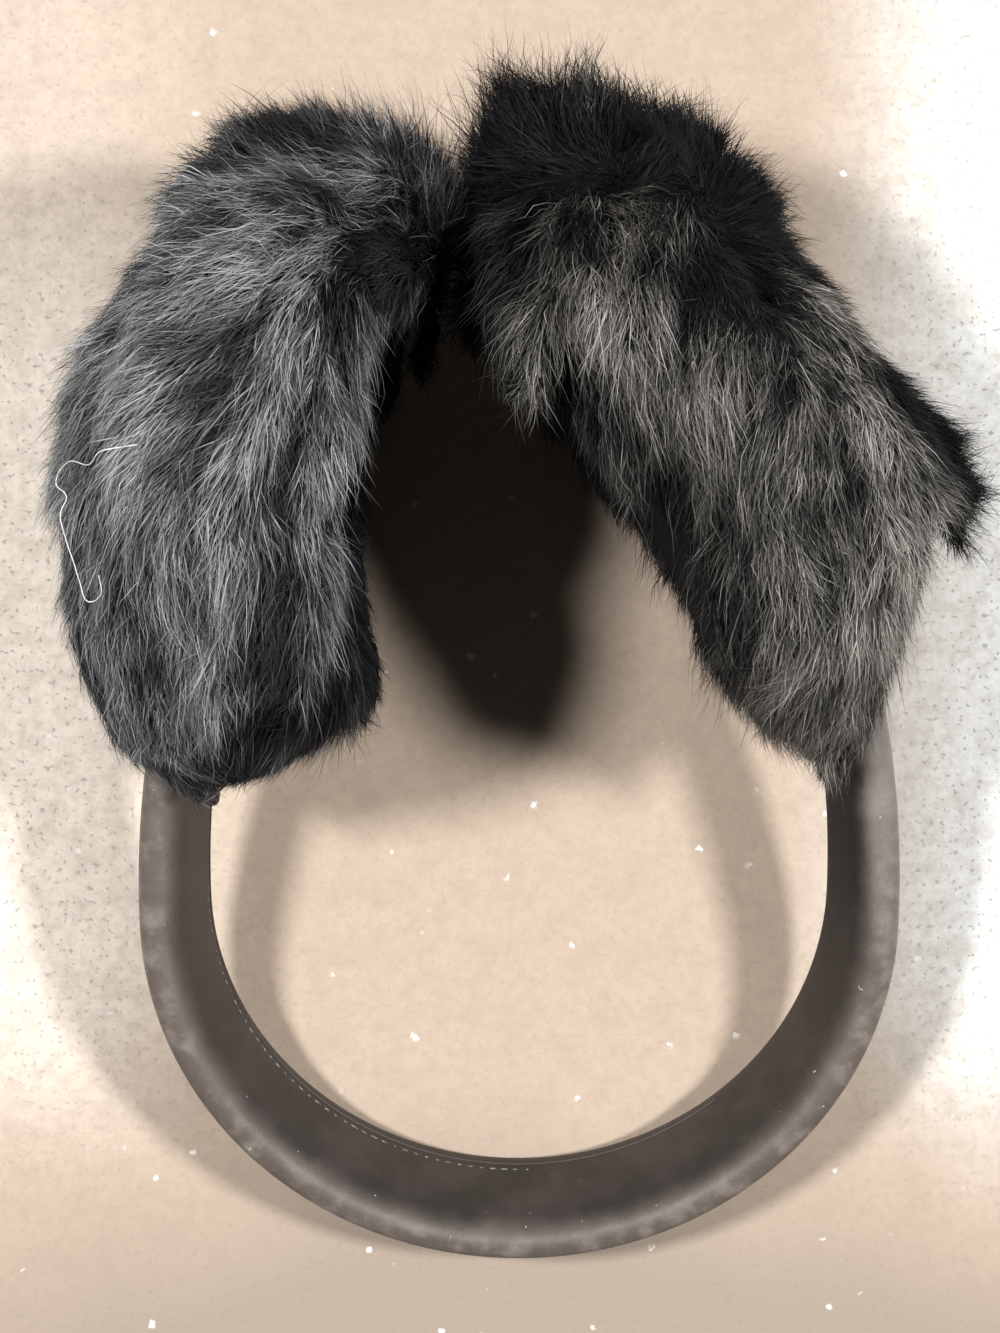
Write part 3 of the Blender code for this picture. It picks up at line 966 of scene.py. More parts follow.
    @staticmethod
    def drop_crumbs(mesh: bpy.types.Mesh) -> None:
        """Keeps only the largest connected part of a mesh."""
        bm = bmesh.new()
        bm.from_mesh(mesh)
        left = set(bm.verts)
        parts = []
        while left:
            front = [left.pop()]
            part = []
            while front:
                vertex = front.pop()
                part.append(vertex)
                for edge in vertex.link_edges:
                    other = edge.other_vert(vertex)
                    if other in left:
                        left.discard(other)
                        front.append(other)
            parts.append(part)
        parts.sort(key=len)
        for part in parts[:-1]:
            bmesh.ops.delete(bm, geom=part, context="VERTS")
        bm.to_mesh(mesh)
        bm.free()

    def tuck_in(
        self, points: np.ndarray, core: bpy.types.Mesh
    ) -> tuple[np.ndarray, np.ndarray]:
        """Draws narrow spikes back, so that only the hair stands out there.

        Args:
            points: The points of the skin.
            core: The pad's form made from cubes too large to hold a spike.

        Returns:
            The points, each no further outside the core than the slack, and which of them
            were drawn back, as 0 or 1.
        """
        drawn = np.zeros(len(points))
        faces = [tuple(face.vertices) for face in core.polygons]
        tree = BVHTree.FromPolygons(mesh_points(core).tolist(), faces)
        for number, point in enumerate(points):
            near, normal, _, gap = tree.find_nearest(point)
            out = Vector(point) - near
            if gap > self.slack and out.dot(normal) > 0:
                points[number] = near + out * (self.slack / gap)
                drawn[number] = 1.0
        return points, drawn

    def ease(self, skin: bpy.types.Mesh, points: np.ndarray, drawn: np.ndarray) -> np.ndarray:
        """Evens out the skin where spikes were drawn back, so that it lies there uncrumpled.

        Args:
            skin: The pelt's mesh, for its edges.
            points: Where its points have come.
            drawn: Which of them were drawn back, as 0 or 1.

        Returns:
            The points.
        """
        edges = np.empty(len(skin.edges) * 2, np.int32)
        skin.edges.foreach_get("vertices", edges)
        ends = np.concatenate((edges.reshape(-1, 2), edges.reshape(-1, 2)[:, ::-1]))
        count = np.bincount(ends[:, 0], minlength=len(points))
        share = drawn.copy()
        for _ in range(self.ease_margin):
            np.maximum.at(share, ends[:, 0], share[ends[:, 1]])
        for turn in range(self.ease_rounds):
            pull = self.ease_back if turn % 2 else self.ease_pull
            near = [
                np.bincount(ends[:, 0], points[ends[:, 1], axis], len(points))
                for axis in range(3)
            ]
            step = np.stack(near, axis=1) / count[:, None] - points
            points = points + step * (pull * share)[:, None]
        return points

    def press(self, points: np.ndarray) -> np.ndarray:
        """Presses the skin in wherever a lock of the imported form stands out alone."""
        middle = points.mean(axis=0)
        for place in self.snags:
            centre = np.array(place) * MM
            inward = (middle - centre) / np.linalg.norm(middle - centre)
            gap = np.linalg.norm(points - centre, axis=1)
            share = np.exp(-((gap / self.snag_size) ** 2))
            points = points + inward * self.snag_size * share[:, None]
        return points

    def comb(self, skin: bpy.types.Mesh) -> float:
        """Stores on each point of the skin which way its hair lies, how long it is and how light,
        the lightness painting sheen and shade.

        Args:
            skin: The pelt's mesh.

        Returns:
            The area that carries hair, in square metres.
        """
        noise.seed_set(self.seed)
        points, normals = mesh_points(skin), mesh_normals(skin)
        places = np.array([(g.x, g.y, g.z) for g in self.guides]) * MM
        ways = np.array([g.way() for g in self.guides])
        facts = np.array([(g.length * MM, math.radians(g.lift), g.light) for g in self.guides])
        gaps = np.linalg.norm(points[:, None, :] - places[None, :, :], axis=2)
        weights = 1.0 / (gaps**2 + self.guide_blur**2) ** self.guide_fall
        weights /= weights.sum(axis=1, keepdims=True)
        flow = weights @ ways
        stray = np.array([noise.noise_vector(Vector(point) * 60) for point in points])
        flow += self.wander * stray
        flow -= normals * (flow * normals).sum(axis=1, keepdims=True)
        flow = unit(flow)
        # The guides' lightness, painted sheen and shade, blends more sharply than their length and
        # lift
        sharp = weights**1.5 / (weights**1.5).sum(axis=1, keepdims=True)
        facts = np.column_stack((weights @ facts[:, :2], sharp @ facts[:, 2]))
        bare = (points[:, 2] < 0.003) & (normals[:, 2] < -0.3)
        to_lining = points - np.array(self.lining)
        inner = -1.0 if self.side is Side.RIGHT else 1.0
        facing = normals @ np.array((0.94 * inner, -0.33, 0.0)) > 0.75
        facing &= normals[:, 2] < 0.15
        bare |= (np.linalg.norm(to_lining, axis=1) < self.near_lining) & facing
        ridge = self.ridges(points, normals, flow)
        crease = np.max([fold.share(points) for fold in self.folds], axis=0)
        # Painted shade in the folds between locks
        facts[:, 2] *= 1 - self.crease_shade * crease
        facts[:, 0] *= 1 - self.crease_trim * crease
        drawn = sum(fold.share(points) * fold.depth for fold in self.folds) * MM
        drawn = np.minimum(drawn, self.fold_limit)
        height = np.where(bare, 0.0, self.relief * (ridge - 0.6) - drawn)
        points += normals * height[:, None]
        points[:, 2] = np.maximum(points[:, 2], FLOOR_GAP)
        skin.vertices.foreach_set("co", points.ravel())
        self.keep(skin, "comb", flow, "FLOAT_VECTOR")
        self.keep(skin, "outward", normals, "FLOAT_VECTOR")
        self.keep(skin, "ridge", ridge, "FLOAT")
        for column, label in enumerate(("hair_length", "lift", "lightness")):
            self.keep(skin, label, facts[:, column], "FLOAT")
        furred = np.where(bare, 0.0, np.clip(0.72 + 0.55 * normals[:, 2], 0.28, 1.0))
        self.keep(skin, "furred", furred, "FLOAT")
        return sum(face.area * furred[face.vertices[0]] for face in skin.polygons)

    def ridges(self, points: np.ndarray, normals: np.ndarray, flow: np.ndarray) -> np.ndarray:
        """How high the locks stand at each point: random heights drawn out along the comb.

        Args:
            points: The points of the skin.
            normals: Their normals.
            flow: Which way the hair lies at each.

        Returns:
            A height from 0 to 1 for each point, spread evenly.
        """
        finder = KDTree(len(points))
        for number, point in enumerate(points):
            finder.insert(point, number)
        finder.balance()
        across = np.cross(normals, flow)
        height = np.random.default_rng(self.seed).random(len(points))
        for way, step, rounds in ((across, 1.2, 2), (flow, 1.6, 8)):
            reach = way * self.voxel * step
            ahead = [finder.find(point)[1] for point in points + reach]
            behind = [finder.find(point)[1] for point in points - reach]
            for _ in range(rounds):
                height = (height + height[ahead] + height[behind]) / 3
        return np.argsort(np.argsort(height)) / len(points)

    @staticmethod
    def keep(skin: bpy.types.Mesh, name: str, values: np.ndarray, kind: str) -> None:
        """Stores values for the points of a mesh."""
        attribute = skin.attributes.new(name, kind, "POINT")
        channel = "vector" if kind == "FLOAT_VECTOR" else "value"
        attribute.data.foreach_set(channel, np.ascontiguousarray(values, np.float32).ravel())

    def grow(
        self,
        pelt: bpy.types.Object,
        coat: Coat,
        area: float,
        hair: bpy.types.Material,
        seed: int,
    ) -> bpy.types.Object:
        """Grows one coat of hair on the pelt.

        Args:
            pelt: The pelt, with its combing stored on it.
            coat: The kind of hair.
            area: The area that carries hair.
            hair: The hair's material.
            seed: What the random numbers start from.

        Returns:
            The coat as one plain mesh.
        """
        strand = self.strand(coat)
        tree = GeometryTree(
            f"{self.side.value}_{coat.label}_tree",
            {
                "Strand": ("object", strand),
                "Material": ("material", hair),
                "Hairs per Area": ("number", coat.count / area),
                "Wisps per Area": ("number", 1 / self.wisp_size**2),
                "Tufts per Area": ("number", 1 / self.tuft_size**2),
                "Length Share": ("number", coat.length),
                "Width": ("number", coat.width),
                "Pull": ("number", coat.pull),
                "Wave": ("number", coat.wave),
                "Stray": ("number", coat.stray),
                "Curl": ("number", self.curl),
                "Light Share": ("number", coat.light),
                "Seed": ("count", seed),
            },
        )
        bench = tree.bench
        wisps = self.roots(tree, "Wisps per Area", 3)
        tufts = self.roots(tree, "Tufts per Area", 5)
        wisp_tip = self.reach(tree, 11, 0.12)["tip"]
        hairs = self.roots(tree, "Hairs per Area", 0)
        own = self.reach(tree, 7, tree.given("Stray"))
        to_wisp = bench.vector("SUBTRACT", a=self.nearest(tree, wisps, wisp_tip), b=own["tip"])
        to_tuft = bench.vector("SUBTRACT", a=self.nearest(tree, tufts, wisp_tip), b=own["tip"])
        middle = self.nearest(tree, tufts, tree.position())
        from_middle = bench.vector("DISTANCE", a=middle, b=tree.position())
        edge = (from_middle / self.tuft_size).ramp(0.15, 0.75)
        ridge = tree.attribute("ridge")
        sway = self.nearest(tree, wisps, tree.random_vector(1.0, tree.given("Seed") + 61))
        gather = bench.vector("SCALE", a=to_wisp, scale=tree.given("Pull"))
        gather = bench.vector(
            "ADD", a=gather, b=bench.vector("SCALE", a=to_tuft, scale=tree.given("Pull") * 0.50)
        )
        comb = bench.vector("SCALE", a=own["flow"], scale=own["length"] * 0.22)
        outward = tree.attribute("outward", "FLOAT_VECTOR")
        lay = bench.vector("SCALE", a=outward, scale=own["length"] * -0.26)
        bend = bench.vector("ADD", a=gather, b=bench.vector("ADD", a=comb, b=lay))
        curl = bench.vector(
            "SCALE",
            a=tree.random_vector(1.0, tree.given("Seed") + 41),
            scale=own["length"] * tree.given("Curl"),
        )
        bend = bench.vector("ADD", a=bend, b=curl)
        # Lightness differs at random from hair to hair and by patch, and carries painted sheen and
        # shade: the guides' lightness, painted shade towards a tuft's edge and on the lower locks,
        # and painted light on the higher locks
        lightness = tree.attribute("lightness") * tree.given("Light Share")
        own_light = tree.random(0.0, 1.0, tree.given("Seed") + 23) ** 2.6
        patch = bench.noise(tree.position(), 170.0, 3.0).wire("Fac").ramp(0.36, 0.64)
        shade = lightness * (0.34 + 0.66 * own_light) * (0.50 + 0.66 * patch)
        shade = shade * (1.12 - 0.45 * edge) * (0.34 + 1.12 * ridge.ramp(0.05, 0.95))
        hairs = tree.store(hairs, "bend", bend, "FLOAT_VECTOR")
        wave = bench.vector("SCALE", a=sway, scale=own["length"] * tree.given("Wave"))
        hairs = tree.store(hairs, "wave", wave, "FLOAT_VECTOR")
        phase = bench.add("ShaderNodeSeparateXYZ", None, {"Vector": sway}).wire("X")
        hairs = tree.store(hairs, "phase", phase * 3.0)
        hairs = tree.store(hairs, "shade", shade.at_most(0.985).at_least(0.01))
        # Each strip stands along its heading with its flat side outwards, a little rolled
        turn = bench.add(
            "FunctionNodeAlignRotationToVector", {"axis": "Z"}, {"Vector": own["heading"]}
        ).wire("Rotation")
        turn = bench.add(
            "FunctionNodeAlignRotationToVector",
            {"axis": "Y", "pivot_axis": "Z"},
            {"Rotation": turn, "Vector": outward},
        ).wire("Rotation")
        roll = bench.add(
            "FunctionNodeAxisAngleToRotation",
            None,
            {"Axis": (0, 0, 1), "Angle": tree.random(-0.9, 0.9, tree.given("Seed") + 31)},
        ).wire("Rotation")
        turn = bench.add(
            "FunctionNodeRotateRotation",
            {"rotation_space": "LOCAL"},
            {"Rotation": turn, "Rotate By": roll},
        ).wire("Rotation")
        width = tree.given("Width") * tree.random(0.7, 1.25, tree.given("Seed") + 37)
        scale = bench.add(
            "ShaderNodeCombineXYZ",
            None,
            {"X": width, "Y": width, "Z": own["length"] * (0.92 - 0.24 * edge + 0.26 * ridge)},
        ).wire("Vector")
        shape = bench.add("GeometryNodeObjectInfo", None, {"Object": tree.given("Strand")})
        grown = bench.add(
            "GeometryNodeInstanceOnPoints",
            None,
            {
                "Points": hairs,
                "Instance": shape.wire("Geometry"),
                "Rotation": turn,
                "Scale": scale,
            },
        ).wire("Instances")
        real = bench.add("GeometryNodeRealizeInstances", None, {"Geometry": grown}).wire(
            "Geometry"
        )
        real = self.bend_hairs(tree, real)
        tree.end(real)
        piece = tree.run(f"{self.side.value}_{coat.label}", pelt)
        bpy.data.objects.remove(strand)
        self.drop_attributes(piece.data)
        return piece

    def roots(self, tree: GeometryTree, density: str, step: int) -> Wire:
        """Scatters points on the furred part of the pelt."""
        inputs = {
            "Mesh": tree.given("Geometry"),
            "Density": tree.given(density) * tree.attribute("furred"),
            "Seed": tree.given("Seed") + step,
        }
        return tree.bench.add(
            "GeometryNodeDistributePointsOnFaces", {"distribute_method": "RANDOM"}, inputs
        ).wire("Points")

    def reach(self, tree: GeometryTree, step: int, stray: object) -> dict[str, Wire]:
        """Which way a hair grows at a point, how long it is and where its tip comes.

        Args:
            tree: The tree to work in.
            step: What is added to the seed.
            stray: How far single hairs leave the comb's direction.

        Returns:
            The flow along the pelt, the heading off it, the length and the tip.
        """
        bench = tree.bench
        seed = tree.given("Seed") + step
        place = tree.position()
        waves = bench.noise(place, 190.0, 2.0, 0.6).wire("Color")
        waves = bench.vector("SUBTRACT", a=waves, b=(0.5, 0.5, 0.5))
        waves = bench.vector("SCALE", a=waves, scale=1.6)
        loose = bench.vector("SCALE", a=tree.random_vector(1.0, seed), scale=stray)
        comb = tree.attribute("comb", "FLOAT_VECTOR")
        flow = bench.vector("ADD", a=comb, b=bench.vector("ADD", a=waves, b=loose))
        flow = bench.vector("NORMALIZE", a=flow)
        lift = tree.attribute("lift") * tree.random(0.6, 1.5, seed + 2)
        outward = tree.attribute("outward", "FLOAT_VECTOR")
        heading = bench.vector(
            "ADD",
            a=bench.vector("SCALE", a=flow, scale=lift.cosine()),
            b=bench.vector("SCALE", a=outward, scale=lift.sine()),
        )
        heading = bench.vector("NORMALIZE", a=heading)
        length = tree.attribute("hair_length") * tree.given("Length Share")
        length = length * tree.random(0.60, 1.08, seed + 4)
        tip = bench.vector("ADD", a=place, b=bench.vector("SCALE", a=heading, scale=length))
        return {"flow": flow, "heading": heading, "length": length, "tip": tip}

    def nearest(self, tree: GeometryTree, centres: Wire, value: Wire) -> Wire:
        """A vector at the wisp or tuft whose root is nearest.

        Args:
            tree: The tree to work in.
            centres: The points that the wisps or tufts grow from.
            value: The vector that is wanted, as a field on those points.

        Returns:
            The value at the nearest of them.
        """
        bench = tree.bench
        index = bench.add(
            "GeometryNodeSampleNearest",
            {"domain": "POINT"},
            {"Geometry": centres, "Sample Position": tree.position()},
        ).wire("Index")
        return bench.add(
            "GeometryNodeSampleIndex",
            {"data_type": "FLOAT_VECTOR", "domain": "POINT"},
            {"Geometry": centres, "Value": value, "Index": index},
        ).wire("Value")

    def bend_hairs(self, tree: GeometryTree, real: Wire) -> Wire:
        """Bends the strips along their length, keeps them off the floor and maps them."""
        bench = tree.bench
        along, phase = tree.attribute("along"), tree.attribute("phase")
        offset = bench.vector(
            "SCALE", a=tree.attribute("bend", "FLOAT_VECTOR"), scale=along * along
        )
        swing = (along * 6.5 + phase).sine() - phase.sine()
        offset = bench.vector(
            "ADD",
            a=offset,
            b=bench.vector("SCALE", a=tree.attribute("wave", "FLOAT_VECTOR"), scale=swing),
        )
        moved = bench.vector("ADD", a=tree.position(), b=offset)
        parts = bench.add("ShaderNodeSeparateXYZ", None, {"Vector": moved})
        kept = bench.add(
            "ShaderNodeCombineXYZ",
            None,
            {
                "X": parts.wire("X"),
                "Y": parts.wire("Y"),
                "Z": parts.wire("Z").at_least(HAIR_FLOOR_GAP),
            },
        ).wire("Vector")
        real = bench.add(
            "GeometryNodeSetPosition", None, {"Geometry": real, "Position": kept}
        ).wire("Geometry")
        column = ((tree.attribute("shade") * COLUMNS).floor() + 0.5) / COLUMNS
        place = bench.add(
            "ShaderNodeCombineXYZ",
            None,
            {"X": column + tree.attribute("across") * (0.35 / COLUMNS), "Y": along},
        ).wire("Vector")
        return tree.store(real, BAKE_MAP, place, "FLOAT2")

    @staticmethod
    def strand(coat: Coat) -> bpy.types.Object:
        """One hair: a strip that stands on the origin, one unit long and wide, with a point."""
        bm = bmesh.new()
        along = bm.verts.layers.float.new("along")
        across = bm.verts.layers.float.new("across")
        rows = []
        for number in range(coat.segments):
            share = number / coat.segments
            half = 0.5 * (1 - share**2.2)
            row = []
            for side in (-1, 1):
                vertex = bm.verts.new((side * half, 0, share))
                vertex[along] = share
                vertex[across] = side
                row.append(vertex)
            rows.append(row)
        tip = bm.verts.new((0, 0, 1))
        tip[along] = 1.0
        for low, high in zip(rows, rows[1:]):
            bm.faces.new((low[0], low[1], high[1], high[0]))
        bm.faces.new((rows[-1][0], rows[-1][1], tip))
        mesh = bpy.data.meshes.new(coat.label + "_strand")
        bm.to_mesh(mesh)
        bm.free()
        mesh.shade_smooth()
        return link(coat.label + "_strand", mesh)

    @staticmethod
    def drop_attributes(mesh: bpy.types.Mesh) -> None:
        """Removes the working attributes of a coat once its shape is made."""
        working = ("comb", "outward", "hair_length", "lift", "lightness", "furred", "bend")
        for name in (*working, "ridge", "wave", "phase", "shade", "along", "across"):
            found = mesh.attributes.get(name)
            if found is not None:
                mesh.attributes.remove(found)


@dataclass
class Headband:
    """The padded leather sleeve over the spring band, with its seam and stitches.

    Attributes:
        width, thickness: The size of its flat oval section.
        roll: How far the section leans outwards.
        squareness: The power of the oval, where 2 is an ellipse.
        tilt: How far the arms climb from the crown.
        crown_radius, arm_radius, arm_rise: The arcs of its centreline, and how far an arm's goes.
        origin: The lowest place of the centreline, at the crown.
        around, along: How many sides and rings the sleeve has.
        seam: How far below the middle of the inner face the welt runs.
        leather, thread: Its finishes.
        pitch: How far apart the stitches are.
        stitched, welted: Where they begin and end, as shares of the centreline.
        welt_radius, welt_sink: The welt's size, and how far it is let into the leather.
    """

    width: float = 0.026
    thickness: float = 0.0096
    roll: float = math.radians(15.0)
    squareness: float = 2.8
    tilt: float = math.radians(19.5)
    crown_radius: float = 0.070
    arm_radius: float = 0.220
    arm_rise: float = 0.097
    origin: Vector = field(default_factory=lambda: Vector((-0.00166, -0.10946, 0.01077)))
    around: int = 56
    along: int = 240
    seam: float = 0.0088
    leather: LeatherFinish = field(default_factory=LeatherFinish)
    thread: ThreadFinish = field(
        default_factory=lambda: ThreadFinish(
            "stitch_thread", (0.05, 0.047, 0.044, 1.0), (0.24, 0.225, 0.21, 1.0)
        )
    )
    pitch: float = 0.0026
    stitched: tuple = (0.235, 0.505)
    welted: tuple = (0.15, 0.62)
    welt_radius: float = 0.00045
    welt_sink: float = 0.0002

    def route(self) -> list[Vector]:
        """The sleeve's centreline in its own plane, from the left end round to the right."""
        last = math.asin(self.arm_rise / self.arm_radius)
        points = []
        steps = 60
        for i in range(steps):
            points.append(self.arm_point(-1, last * (1 - i / steps)))
        for i in range(2 * steps + 1):
            turn = math.pi * (1 + i / (2 * steps))
            radius = self.crown_radius
            points.append(Vector((radius * math.cos(turn), radius * (1 + math.sin(turn)), 0)))
        for i in range(steps):
            points.append(self.arm_point(1, last * (i + 1) / steps))
        return points

    def arm_point(self, side: int, angle: float) -> Vector:
        """A point of an arm's centreline, a turn of angle above the widest place."""
        across = self.crown_radius - self.arm_radius * (1 - math.cos(angle))
        return Vector((side * across, self.crown_radius + self.arm_radius * math.sin(angle), 0))

    def build(self) -> None:
        """Builds the sleeve with its stitches and its welt."""
        sleeve = self.make_sleeve()
        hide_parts("headband")
        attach(sleeve, "root")
        stitches = self.make_stitches()
        welt = self.make_welt()
        for piece in (sleeve, stitches, welt):
            LOG.info("%s: %d triangles", piece.name, triangles(piece.data))
        for piece in (stitches, welt):
            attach(piece, "root")

    def on_section(self, down: float, proud: float) -> Vector:
        """A place on the inner face of the sleeve's section, rolled with it.

        Args:
            down: How far it lies below the middle of the face.
            proud: How far it stands off the leather.

        Returns:
            The place, with X outwards and Y downwards.
        """
        share = 1 - (down / (self.width / 2)) ** self.squareness
        across = -self.thickness / 2 * share ** (1 / self.squareness)
        return Matrix.Rotation(self.roll, 3, "Z") @ Vector((across - proud, down, 0))

    def route_curve(self) -> bpy.types.Object:
        """The centreline as a curve object for a Geometry Nodes tree to start from."""
        curve = bpy.data.curves.new("sleeve_route", "CURVE")
        curve.dimensions = "3D"
        spline = curve.splines.new("POLY")
        route = self.route()
        spline.points.add(len(route) - 1)
        for target, point in zip(spline.points, route):
            target.co = (*point, 1)
        return link("sleeve_route", curve)

    def make_stitches(self) -> bpy.types.Object:
        """A row of short stitches inside the sleeve's lower inner edge, on the left."""
        bm = bmesh.new()
        bmesh.ops.create_uvsphere(bm, u_segments=6, v_segments=5, radius=1.0)
        bmesh.ops.scale(bm, vec=(0.00020, 0.00030, 0.00075), verts=bm.verts)
        place = self.on_section(self.seam - 0.0021, 0.0)
        bmesh.ops.translate(bm, vec=place, verts=bm.verts)
        mesh = bpy.data.meshes.new("one_stitch")
        bm.to_mesh(mesh)
        bm.free()
        mesh.shade_smooth()
        stitch = link("one_stitch", mesh)
        tree = self.route_tree(
            "stitch_tree",
            {
                "Stitch": ("object", stitch),
                "Pitch": ("number", self.pitch),
                "Seed": ("count", 7),
                "From": ("number", self.stitched[0]),
                "To": ("number", self.stitched[1]),
                "Material": ("material", self.thread.make()),
            },
        )
        bench = tree.bench
        points = bench.add(
            "GeometryNodeCurveToPoints",
            {"mode": "LENGTH"},
            {"Curve": self.trimmed(tree), "Length": tree.given("Pitch")},
        )
        shape = bench.add("GeometryNodeObjectInfo", None, {"Object": tree.given("Stitch")})
        even = tree.random(0.35, 1.35, tree.given("Seed"))
        size = bench.add("ShaderNodeCombineXYZ", None, {"X": 1.0, "Y": 1.0, "Z": even})
        rows = bench.add(
            "GeometryNodeInstanceOnPoints",
            None,
            {
                "Points": points.wire("Points"),
                "Instance": shape.wire("Geometry"),
                "Rotation": points.wire("Rotation"),
                "Scale": size.wire("Vector"),
            },
        )
        piece = self.finish_tree(tree, rows.wire("Instances"), "edge_stitches")
        bpy.data.objects.remove(stitch)
        return piece

    def make_welt(self) -> bpy.types.Object:
        """The narrow welt of the seam that closes the sleeve, outside the stitches."""
        tree = self.route_tree(
            "welt_tree",
            {
                "Radius": ("number", self.welt_radius),
                "Offset": ("vector", self.on_section(self.seam, -self.welt_sink)),
                "From": ("number", self.welted[0]),
                "To": ("number", self.welted[1]),
                "Material": ("material", self.leather.make()),
            },
        )
        bench = tree.bench
        ring = bench.add(
            "GeometryNodeCurvePrimitiveCircle",
            {"mode": "RADIUS"},
            {"Resolution": 8, "Radius": tree.given("Radius")},
        ).wire("Curve")
        ring = bench.add(
            "GeometryNodeTransform", None, {"Geometry": ring, "Translation": tree.given("Offset")}
        ).wire("Geometry")
        tube = bench.add(
            "GeometryNodeCurveToMesh",
            None,
            {"Curve": self.trimmed(tree), "Profile Curve": ring, "Fill Caps": True},
        ).wire("Mesh")
        return self.finish_tree(tree, tube, "seam_welt")

    def route_tree(self, name: str, inputs: dict[str, tuple]) -> GeometryTree:
        """A tree that starts from the route and ends in the sleeve's place."""
        placing = {
            "Rings": ("count", self.along),
            "Place": ("vector", self.origin),
            "Tilt": ("rotation", Euler((self.tilt, 0, 0))),
        }
        return GeometryTree(name, {**placing, **inputs})

    def even_route(self, tree: GeometryTree) -> Wire:
        """The route in even steps, with its normals upright."""
        even = tree.bench.add(
            "GeometryNodeResampleCurve",
            None,
            {"Curve": tree.given("Geometry"), "Count": tree.given("Rings")},
        ).wire("Curve")
        return tree.bench.add(
            "GeometryNodeSetCurveNormal", {"mode": "Z_UP"}, {"Curve": even}
        ).wire("Curve")

    def trimmed(self, tree: GeometryTree) -> Wire:
        """The part of the route between the tree's From and To."""
        ends = {"Start": tree.given("From"), "End": tree.given("To")}
        return tree.bench.add(
            "GeometryNodeTrimCurve", {"mode": "FACTOR"}, {"Curve": self.even_route(tree), **ends}
        ).wire("Curve")

    def finish_tree(self, tree: GeometryTree, geometry: Wire, name: str) -> bpy.types.Object:
        """Puts what a tree has made in the sleeve's place and runs it on the route."""
        real = tree.bench.add(
            "GeometryNodeRealizeInstances", None, {"Geometry": geometry}
        ).wire("Geometry")
        placed = tree.bench.add(
            "GeometryNodeTransform",
            None,
            {
                "Geometry": real,
                "Translation": tree.given("Place"),
                "Rotation": tree.given("Tilt"),
            },
        ).wire("Geometry")
        tree.end(placed)
        guide = self.route_curve()
        piece = tree.run(name, guide)
        bpy.data.objects.remove(guide)
        self.finish_mesh(piece.data)
        return piece

    def make_sleeve(self) -> bpy.types.Object:
        """Sweeps the flat oval section along the route with Geometry Nodes."""
        tree = self.route_tree(
            "sleeve_tree",
            {
                "Width": ("number", self.width),
                "Thickness": ("number", self.thickness),
                "Squareness": ("number", self.squareness),
                "Roll": ("number", self.roll),
                "Sides": ("count", self.around),
                "Material": ("material", self.leather.make()),
            },
        )
        bench = tree.bench
        share = bench.add("GeometryNodeSplineParameter").wire("Factor")
        even = tree.store(self.even_route(tree), "along", share)
        section = self.section(tree)
        swept = bench.add(
            "GeometryNodeCurveToMesh",
            None,
            {"Curve": even, "Profile Curve": section, "Fill Caps": True},
        ).wire("Mesh")
        return self.finish_tree(tree, swept, "padded_sleeve")

    def section(self, tree: GeometryTree) -> Wire:
        """The sleeve's section: a flat oval, a little squarer than an ellipse, rolled outwards."""
        bench = tree.bench
        circle = bench.add(
            "GeometryNodeCurvePrimitiveCircle",
            {"mode": "RADIUS"},
            {"Resolution": tree.given("Sides"), "Radius": 1.0},
        ).wire("Curve")
        parts = bench.add("ShaderNodeSeparateXYZ", None, {"Vector": tree.position()})
        cosine, sine = parts.wire("X"), parts.wire("Y")
        power = tree.given("Squareness")
        radius = (cosine.size() ** power + sine.size() ** power) ** (-1 / power)
        thick = tree.given("Thickness") * 0.5 * radius * cosine
        wide = tree.given("Width") * 0.5 * radius * sine
        circle = tree.store(circle, "outer_edge", cosine * 0.35 - sine * 0.9)
        flat = bench.add("ShaderNodeCombineXYZ", None, {"X": thick, "Y": wide}).wire("Vector")
        rolled = bench.add(
            "ShaderNodeVectorRotate",
            {"rotation_type": "Z_AXIS"},
            {"Vector": flat, "Angle": tree.given("Roll")},
        ).wire("Vector")
        return bench.add(
            "GeometryNodeSetPosition", None, {"Geometry": circle, "Position": rolled}
        ).wire("Geometry")

    def finish_mesh(self, mesh: bpy.types.Mesh) -> None:
        """Presses the sleeve flat on the floor and points its faces outwards."""
        bm = bmesh.new()
        bm.from_mesh(mesh)
        for vertex in bm.verts:
            vertex.co.z = max(vertex.co.z, FLOOR_GAP)
        bmesh.ops.recalc_face_normals(bm, faces=bm.faces)
        bm.to_mesh(mesh)
        bm.free()
        mesh.shade_smooth()


